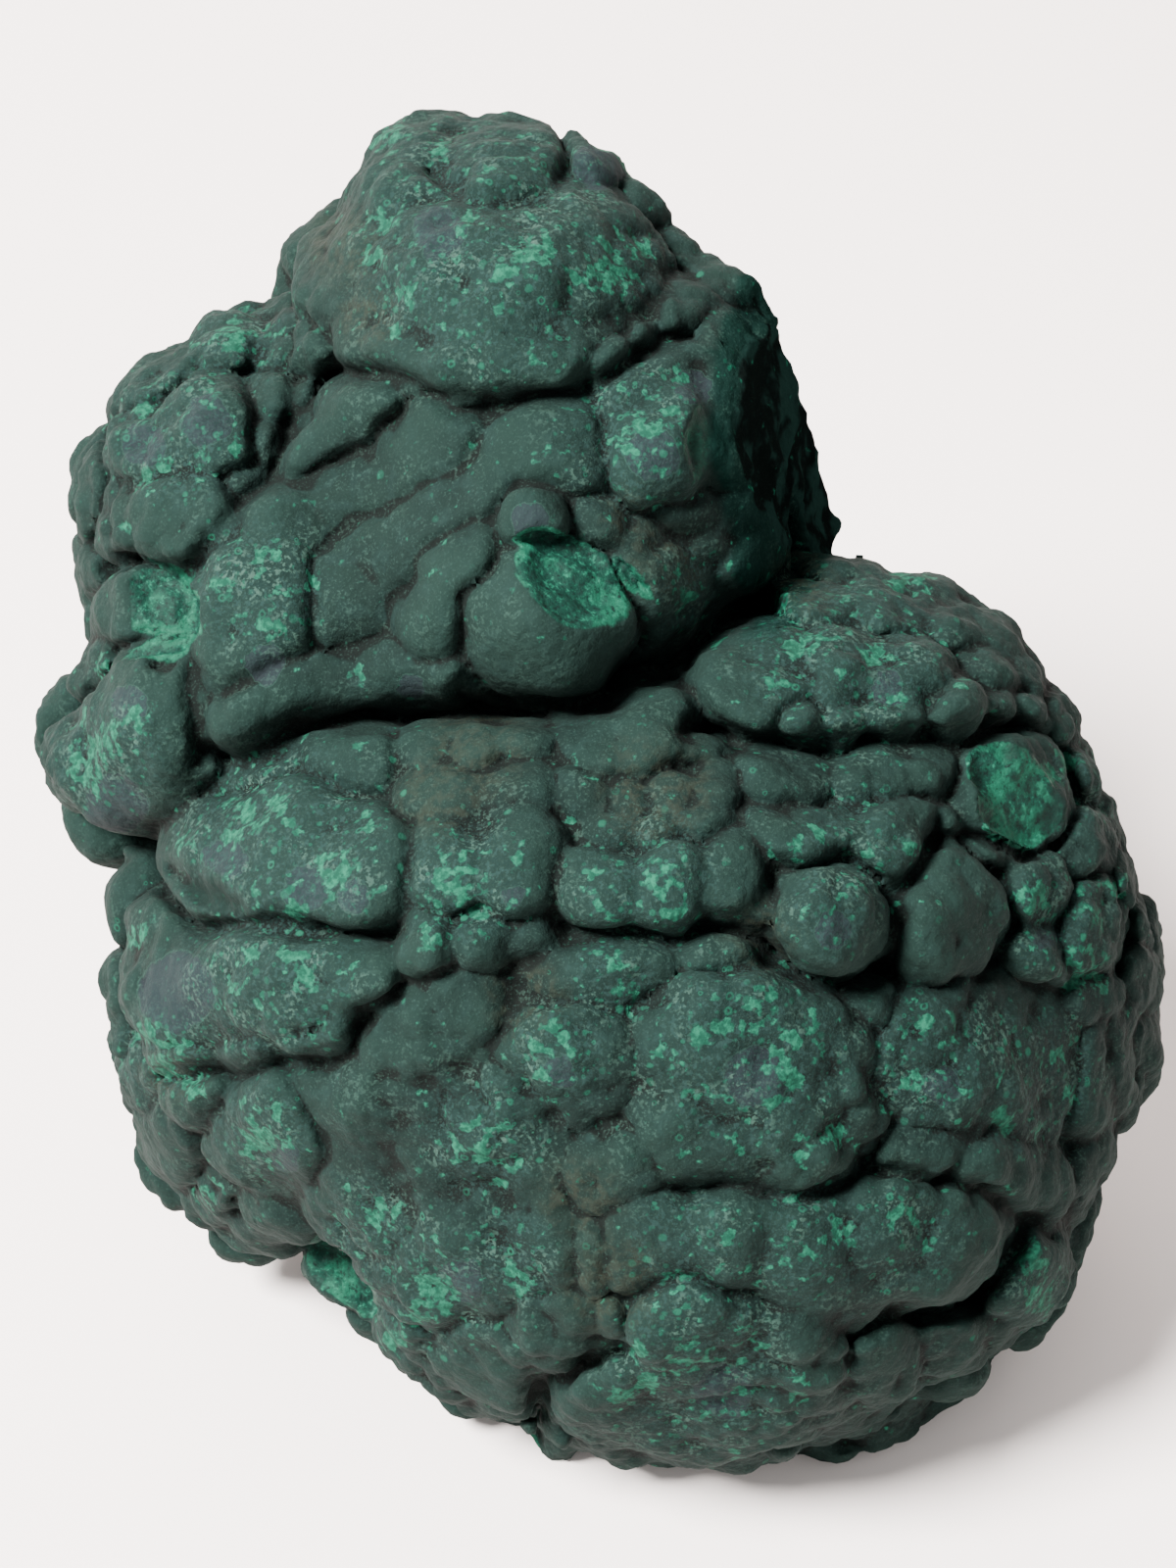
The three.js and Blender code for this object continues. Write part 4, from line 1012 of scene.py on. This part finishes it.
def smooth_step(low, high, value):
    t = np.clip((value - low) / (high - low), 0, 1)
    return t * t * (3 - 2 * t)


def sample(field, low, points):
    """A grid's value between its nodes."""
    base, part = lattice(points - low, GRID_STEP)
    limit = np.array(field.shape) - 2
    base = np.clip(base, 0, limit)
    total = 0
    for corner in np.ndindex(2, 2, 2):
        share = np.prod(np.where(np.array(corner) == 1, part, 1 - part), axis=1)
        total = total + share * field[tuple((base + corner).T)]
    return total


def read_points(mesh):
    flat = np.empty(len(mesh.vertices) * 3)
    mesh.vertices.foreach_get("co", flat)
    return flat.reshape(-1, 3)


def read_normals(mesh):
    flat = np.empty(len(mesh.vertices) * 3)
    mesh.vertex_normals.foreach_get("vector", flat)
    return flat.reshape(-1, 3)


def read_edges(mesh):
    flat = np.empty(len(mesh.edges) * 2, dtype=np.int32)
    mesh.edges.foreach_get("vertices", flat)
    return flat.reshape(-1, 2)


def relief(points, normals, edges, rounds):
    """Height of each point above the surface smoothed over its neighbourhood."""
    count = len(points)
    degree = np.bincount(edges.ravel(), minlength=count)
    smooth = points.copy()
    for _ in range(rounds):
        summed = np.empty_like(smooth)
        for axis in range(3):
            values = smooth[:, axis]
            summed[:, axis] = np.bincount(edges[:, 0], values[edges[:, 1]], count)
            summed[:, axis] += np.bincount(edges[:, 1], values[edges[:, 0]], count)
        smooth = summed / np.maximum(degree, 1)[:, None]
    return np.sum((points - smooth) * normals, axis=1)


def make_mesh(name, points, faces):
    mesh = bpy.data.meshes.new(name)
    mesh.from_pydata(points.tolist(), [], faces.tolist())
    mesh.validate()
    mesh.update()
    return mesh


def write_attribute(mesh, name, values):
    attribute = mesh.attributes.new(name, "FLOAT", "POINT")
    attribute.data.foreach_set("value", values.astype(np.float32))


# --- Building the stone --------------------------------------------------------------------------
def roughen(points, normals, cut_depth):
    """Moves points a little along their normals: bubbles on the skin, splinters on broken faces."""
    across, up, _, _ = to_face(*points.T)
    broken = smooth_step(0.1, 0.5, cut_depth)
    lumpy = smooth_step(-10, -18, up) + smooth_step(33, 38, up) + smooth_step(-26, -32, across) * (up > 0)
    lumpy = np.maximum(lumpy, smooth_step(12, 20, across) * smooth_step(22, 14, up))
    lumpy = np.clip(0.3 + 0.7 * lumpy + 0.6 * noise(points, 9.0), 0.15, 1.2)
    patchy = np.clip(0.6 + 1.2 * noise(points + 31, 7.0), 0.1, 1.2)
    skin = 0.5 * lumpy * (bubbles(points, 4.6) - 0.5)
    skin += 0.6 * lumpy * patchy * (bubbles(points + 7.7, 2.6) - 0.5)
    skin += 0.25 * lumpy * (bubbles(points - 13.1, 1.5) - 0.5)
    skin += 0.06 * noise(points, 1.3)
    layers = np.sin(2 * math.pi * (cut_depth + 0.8 * noise(points, 3.5)) / LAYER_STEP)
    splinters = 0.5 * noise(points, 5.0) + 0.25 * noise(points, 1.4)
    splinters += 0.2 * layers
    moved = skin * (1 - broken) + splinters * broken
    return points + normals * moved[:, None]


def marked(points, marks, softness):
    """1 in the middle of the marks, given as (across, up, radius), fading to 0 beyond their edges."""
    across, up, _, _ = to_face(*points.T)
    across = across + 0.35 * noise(points, 2.2)
    up = up + 0.35 * noise(points + 50, 2.2)
    strongest = np.zeros(len(points))
    for mark_across, mark_up, radius in marks:
        away = np.hypot(across - mark_across, up - mark_up)
        strongest = np.maximum(strongest, smooth_step(radius * (1 + softness), radius * (1 - softness), away))
    return strongest


def tower_side(points):
    """1 on the broken right side of the tower."""
    across, up, out, _ = to_face(*points.T)
    near = smooth_step(2.6, 1.6, np.abs(beyond_plane(TOWER_FRACTURE, across, up, out)))
    return near * smooth_step(10, 14, up)


def largest_piece(points, faces):
    """Drops the crumbs that don't touch the main body."""
    label = np.arange(len(points))
    while True:
        lowest = label[faces].min(axis=1)
        before = label.copy()
        for corner in range(4):
            np.minimum.at(label, faces[:, corner], lowest)
        label = label[label]
        if np.array_equal(label, before):
            break
    main = np.bincount(label[faces[:, 0]]).argmax()
    kept = label == main
    numbers = np.cumsum(kept) - 1
    return points[kept], numbers[faces[kept[faces[:, 0]]]]


def decimate(stone, limit):
    """Thins the mesh to a number of triangles."""
    triangles = sum(len(face.vertices) - 2 for face in stone.data.polygons)
    modifier = stone.modifiers.new("thin", "DECIMATE")
    modifier.ratio = min(1.0, limit / triangles)
    modifier.use_collapse_triangulate = True
    bpy.context.view_layer.objects.active = stone
    bpy.ops.object.modifier_apply(modifier=modifier.name)


def build_stone():
    sculpture = Sculpture()
    sculpture.build()
    points, faces = largest_piece(*surface_net(sculpture.field, sculpture.low, GRID_STEP))
    rough_mesh = make_mesh("rough", points, faces)
    cut_depth = sample(sculpture.cut_depth, sculpture.low, points)
    points = roughen(points, read_normals(rough_mesh), cut_depth)
    points[:, 2] = np.maximum(points[:, 2], 0)
    bpy.data.meshes.remove(rough_mesh)
    stone = bpy.data.objects.new("stone", make_mesh("stone", points, faces))
    bpy.context.collection.objects.link(stone)
    decimate(stone, TRIANGLE_LIMIT)
    mesh = stone.data
    points = read_points(mesh)
    points[:, 2] = np.maximum(points[:, 2], 0)
    normals = read_normals(mesh)
    edges = read_edges(mesh)
    write_attribute(mesh, "depth", sample(sculpture.cut_depth, sculpture.low, points))
    write_attribute(mesh, "relief", relief(points, normals, edges, RELIEF_ROUNDS))
    write_attribute(mesh, "form", relief(points, normals, edges, FORM_ROUNDS))
    facing = smooth_step(-0.2, 0.1, normals @ OUT_OF_FACE)
    for name, marks, softness in MARKINGS:
        write_attribute(mesh, name, marked(points, marks, softness) * facing)
    write_attribute(mesh, "tower_side", tower_side(points))
    middle = (points.min(axis=0) + points.max(axis=0)) / 2
    shift = np.array((CAD_BOX[0][0] + CAD_BOX[1][0], CAD_BOX[0][1] + CAD_BOX[1][1])) / 2 / MM - middle[:2]
    points[:, :2] += shift
    mesh.vertices.foreach_set("co", (points * MM).ravel())
    mesh.shade_smooth()
    mesh.update()
    return stone, shift


# --- Materials -------------------------------------------------------------------------------------
class Nodes:
    """Short ways to add shader nodes to a material."""

    def __init__(self, name):
        self.material = bpy.data.materials.new(name)
        self.material.use_nodes = True
        self.tree = self.material.node_tree
        self.shader = self.tree.nodes["Principled BSDF"]

    def add(self, kind, settings=(), **inputs):
        node = self.tree.nodes.new(kind)
        for key, value in dict(settings).items():
            setattr(node, key, value)
        for key, value in inputs.items():
            self.feed(node.inputs[key.replace("_", " ")], value)
        return node

    def feed(self, socket, value):
        if isinstance(value, bpy.types.NodeSocket):
            self.tree.links.new(value, socket)
        else:
            socket.default_value = value

    def math(self, operation, a, b=0.0, clamp=False):
        node = self.tree.nodes.new("ShaderNodeMath")
        node.operation = operation
        node.use_clamp = clamp
        self.feed(node.inputs[0], a)
        self.feed(node.inputs[1], b)
        return node.outputs[0]

    def ramp(self, value, low, high, start=0.0, end=1.0):
        node = self.tree.nodes.new("ShaderNodeMapRange")
        node.interpolation_type = "SMOOTHSTEP"
        for index, item in enumerate((value, low, high, start, end)):
            self.feed(node.inputs[index], item)
        return node.outputs[0]

    def mix(self, share, one, two):
        node = self.tree.nodes.new("ShaderNodeMix")
        node.data_type = "RGBA"
        self.feed(node.inputs[0], share)
        self.feed(node.inputs[6], one)
        self.feed(node.inputs[7], two)
        return node.outputs[2]

    def place(self):
        return self.tree.nodes.new("ShaderNodeTexCoord").outputs["Object"]

    def noise(self, place, size_mm, detail=3.0, roughness=0.55):
        node = self.add("ShaderNodeTexNoise", Scale=1 / (size_mm * MM), Detail=detail, Roughness=roughness)
        self.feed(node.inputs["Vector"], place)
        return node.outputs["Fac"]

    def cells(self, place, size_mm):
        node = self.add("ShaderNodeTexVoronoi", Scale=1 / (size_mm * MM))
        self.feed(node.inputs["Vector"], place)
        return node

    def jitter(self, place, size_mm, reach_mm):
        """The place pushed about at random, so that shapes there lose their evenness."""
        node = self.add("ShaderNodeTexNoise", Scale=1 / (size_mm * MM), Detail=2.0)
        self.feed(node.inputs["Vector"], place)
        push = self.tree.nodes.new("ShaderNodeVectorMath")
        push.operation = "MULTIPLY_ADD"
        self.feed(push.inputs[0], node.outputs["Color"])
        self.feed(push.inputs[1], (2 * reach_mm * MM,) * 3)
        self.feed(push.inputs[2], place)
        return push.outputs[0]

    def attribute(self, name):
        return self.add("ShaderNodeAttribute", {"attribute_name": name}).outputs["Fac"]


def colour(red, green, blue):
    """An sRGB colour, given as 0 to 255, as the linear values shaders take."""
    linear = [((c / 255 + 0.055) / 1.055) ** 2.4 if c > 10 else c / 3294 for c in (red, green, blue)]
    return (*linear, 1.0)


def matte_skin(m, place):
    """The velvety grey-green skin, lighter on its raised lobes, with painted shade darkening its creases."""
    skin = m.mix(m.ramp(m.noise(place, 8), 0.35, 0.65), colour(6, 17, 15), colour(9, 22, 19))
    skin = m.mix(m.ramp(m.noise(place, 1.6), 0.45, 0.75), skin, colour(12, 26, 24))
    dust = m.math("MULTIPLY", m.attribute("tan"), m.ramp(m.noise(place, 0.8), 0.4, 0.6, 0.1, 0.6))
    skin = m.mix(dust, skin, colour(27, 29, 22))
    raised = m.ramp(m.attribute("form"), 0.0, 1.2, 0.0, 0.4)
    skin = m.mix(raised, skin, colour(14, 31, 27))
    # painted shade: where the relief sinks into a crease, the colour goes nearly black
    return m.mix(m.ramp(m.attribute("relief"), -0.05, -0.2, 0.0, 0.9), skin, colour(4, 7, 6))


def worn_patches(m, place, skin):
    """Smooth lilac-grey patches with thin pale rims."""
    worn = m.math("ADD", m.attribute("grey"), m.math("MULTIPLY", m.noise(place, 1.0, 4.0), 0.8))
    inside = m.ramp(worn, 0.85, 1.1)
    rim = m.math("MULTIPLY", m.ramp(worn, 0.84, 0.9), m.ramp(worn, 0.98, 0.92))
    skin = m.mix(m.math("MULTIPLY", inside, 0.6), skin, colour(21, 27, 31))
    return m.mix(m.math("MULTIPLY", rim, 0.3), skin, colour(33, 58, 50))


def little_rounds(m, place, skin):
    """Tiny bright rounds and rings, thick in the clusters and thin elsewhere."""
    crowd = m.math("ADD", m.math("MULTIPLY", m.attribute("cluster"), 0.3), 0.03)
    uneven = m.jitter(place, 0.5, 0.12)
    for size, strength in ((1.15, 0.7), (0.65, 0.5)):
        cell = m.cells(uneven, size)
        chance = m.add("ShaderNodeSeparateColor", Color=cell.outputs["Color"])
        chosen = m.math("LESS_THAN", chance.outputs["Red"], crowd)
        away = cell.outputs["Distance"]
        disc = m.ramp(away, 0.36, 0.2)
        has_hollow = m.math("GREATER_THAN", chance.outputs["Green"], 0.4)
        hollow = m.math("MULTIPLY", m.ramp(away, 0.22, 0.1), has_hollow)
        ring = m.math("MULTIPLY", m.math("SUBTRACT", disc, hollow, True), chosen)
        faint = m.math("MULTIPLY", m.math("MULTIPLY", ring, strength), chance.outputs["Blue"])
        skin = m.mix(faint, skin, colour(14, 66, 50))
    return skin


def flecks(m, place, skin):
    """Blue-grey and green flecks where the bright rounds gather."""
    fine = m.noise(place, 0.45, 3.0, 0.6)
    spread = m.math("MULTIPLY", m.attribute("cluster"), 0.65)
    skin = m.mix(m.math("MULTIPLY", m.ramp(fine, 0.53, 0.6), spread), skin, colour(19, 37, 35))
    return m.mix(m.math("MULTIPLY", m.ramp(fine, 0.46, 0.4), spread), skin, colour(9, 25, 23))


def bright_patches(m, place, skin):
    """Ragged patches where the skin is rubbed through to bright green."""
    ragged = m.math("MULTIPLY", m.noise(m.jitter(place, 0.9, 0.2), 0.95, 3.0, 0.5), 2.8)
    crowd = m.math("MULTIPLY", m.attribute("cluster"), 0.2)
    amount = m.math("ADD", m.math("MULTIPLY", m.attribute("bright"), 0.68), crowd)
    amount = m.math("ADD", amount, ragged)
    green = m.mix(m.ramp(m.noise(place, 0.5), 0.38, 0.66), colour(8, 45, 34), colour(19, 72, 55))
    skin = m.mix(m.ramp(amount, 1.86, 1.96, 0.0, 0.5), skin, colour(16, 42, 35))
    return m.mix(m.ramp(amount, 1.94, 2.1, 0.0, 0.9), skin, green)


def pale_specks(m, place, skin):
    """Short whitish fibres and grains all over, and a thin crust in places."""
    grain = m.noise(place, 0.2, 2.0)
    skin = m.mix(m.ramp(grain, 0.54, 0.74, 0.0, 0.5), skin, colour(27, 45, 40))
    crusted = m.ramp(m.noise(place, 3.5), 0.48, 0.66)
    crust = m.math("MULTIPLY", crusted, m.ramp(m.noise(place, 0.4), 0.5, 0.62))
    crust = m.math("MULTIPLY", crust, m.math("ADD", m.math("MULTIPLY", m.attribute("cluster"), 0.4), 0.2))
    return m.mix(crust, skin, colour(44, 66, 58)), grain


def broken_face(m, place):
    """Fresh green in wandering bands; on the tower's side, bands darkened nearly to black as painted shade of
    that side, which turns from the light.
    """
    broad = m.math("MULTIPLY", m.noise(place, 5), 14.0)
    ripple = m.math("ADD", broad, m.math("MULTIPLY", m.noise(place, 1.2), 3.0))
    layers = m.math("ADD", m.math("MULTIPLY", m.attribute("depth"), 1.2), ripple)
    band = m.math("MULTIPLY", m.math("ADD", m.math("SINE", layers), 1.0), 0.5)
    fibre = m.noise(place, 0.5, 4.0, 0.7)
    green = m.mix(m.ramp(band, 0.2, 0.8), colour(6, 34, 27), colour(9, 55, 41))
    green = m.mix(m.ramp(fibre, 0.52, 0.72), green, colour(19, 75, 58))
    green = m.mix(m.ramp(fibre, 0.48, 0.34), green, colour(4, 19, 16))
    # painted shade: near-black bands for the tower's side, which turns from the light
    dark = m.mix(m.ramp(band, 0.1, 0.9), colour(6, 10, 9), colour(14, 29, 26))
    return m.mix(m.attribute("tower_side"), green, dark)


def malachite_material():
    m = Nodes("malachite_skin")
    place = m.place()
    skin = matte_skin(m, place)
    skin = worn_patches(m, place, skin)
    skin = flecks(m, place, skin)
    skin, grain = pale_specks(m, place, skin)
    skin = little_rounds(m, place, skin)
    broken = m.ramp(m.attribute("depth"), 0.12, 0.3)
    skin = m.mix(broken, skin, broken_face(m, place))
    skin = bright_patches(m, place, skin)
    # painted shade: the dark marks darken hollows and facets turned from the light
    hollow = m.math("MULTIPLY", m.attribute("dark"), 0.8)
    m.feed(m.shader.inputs["Base Color"], m.mix(hollow, skin, colour(6, 20, 17)))
    m.feed(m.shader.inputs["Roughness"], m.ramp(broken, 0.0, 1.0, 0.9, 0.7))
    m.feed(m.shader.inputs["Specular IOR Level"], m.ramp(m.attribute("tower_side"), 0.0, 1.0, 0.08, 0.0))
    pimples = m.math("MULTIPLY", m.cells(m.jitter(place, 1.0, 0.2), 0.9).outputs["Distance"], -0.28)
    height = m.math("ADD", m.math("MULTIPLY", grain, 0.1), m.math("MULTIPLY", m.noise(place, 0.8), 0.22))
    height = m.math("ADD", height, pimples)
    bump = m.add("ShaderNodeBump", Strength=0.8, Distance=0.5 * MM, Height=height)
    m.feed(m.shader.inputs["Normal"], bump.outputs[0])
    return m.material


def plain_material(name, tint, roughness):
    m = Nodes(name)
    m.shader.inputs["Base Color"].default_value = tint
    m.shader.inputs["Roughness"].default_value = roughness
    m.shader.inputs["Specular IOR Level"].default_value = 0.1
    return m.material


# --- Stage ---------------------------------------------------------------------------------------
def make_floor():
    """A pale sheet that lies flat under the stone and sweeps up behind it."""
    length, bend_radius, height, half_width = 0.30, 0.25, 0.7, 0.9
    profile = [(-0.7, 0.0), (length, 0.0)]
    for step in range(1, 13):
        angle = math.radians(7.5 * step)
        profile.append((length + bend_radius * math.sin(angle), bend_radius * (1 - math.cos(angle))))
    profile.append((length + bend_radius, height))
    points = np.array([(x, y, z) for y, z in profile for x in (-half_width, half_width)])
    faces = np.array([(2 * i, 2 * i + 1, 2 * i + 3, 2 * i + 2) for i in range(len(profile) - 1)])
    floor = bpy.data.objects.new("floor", make_mesh("floor", points, faces))
    bpy.context.collection.objects.link(floor)
    floor.data.shade_smooth()
    floor.data.materials.append(plain_material("pale_sheet", SHEET_TINT, 0.9))


def make_window():
    """One soft round light, high on the left and in front."""
    light = bpy.data.lights.new("window", "AREA")
    light.shape = "DISK"
    light.size = WINDOW_SIZE
    light.energy = WINDOW_POWER
    light.color = WINDOW_TINT
    lamp = bpy.data.objects.new("window", light)
    lamp.location = WINDOW_PLACE
    aim = Vector(WINDOW_TARGET) - Vector(WINDOW_PLACE)
    lamp.rotation_euler = aim.to_track_quat("-Z", "Y").to_euler()
    bpy.context.collection.objects.link(lamp)


def make_camera(shift):
    camera = bpy.data.cameras.new("camera")
    camera.lens = LENS
    camera.sensor_width = SENSOR_WIDTH
    camera.clip_start = 0.01
    holder = bpy.data.objects.new("camera", camera)
    face = np.array((shift[0], shift[1], FACE_HEIGHT)) * MM
    holder.location = Vector(face + OUT_OF_FACE * FACE_FAN * MM)
    holder.rotation_euler = (math.radians(90 - FACE_TILT), 0, 0)
    bpy.context.collection.objects.link(holder)
    bpy.context.scene.camera = holder


def light_the_room():
    """Even, pale light from all around."""
    world = bpy.data.worlds.new("studio")
    world.use_nodes = True
    background = world.node_tree.nodes["Background"]
    background.inputs["Color"].default_value = ROOM_TINT
    background.inputs["Strength"].default_value = ROOM_STRENGTH
    bpy.context.scene.world = world


stone, shift = build_stone()
stone.data.materials.clear()
stone.data.materials.append(malachite_material())
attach(stone, "root")
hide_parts(NODE)

make_floor()
make_window()
light_the_room()
make_camera(shift)
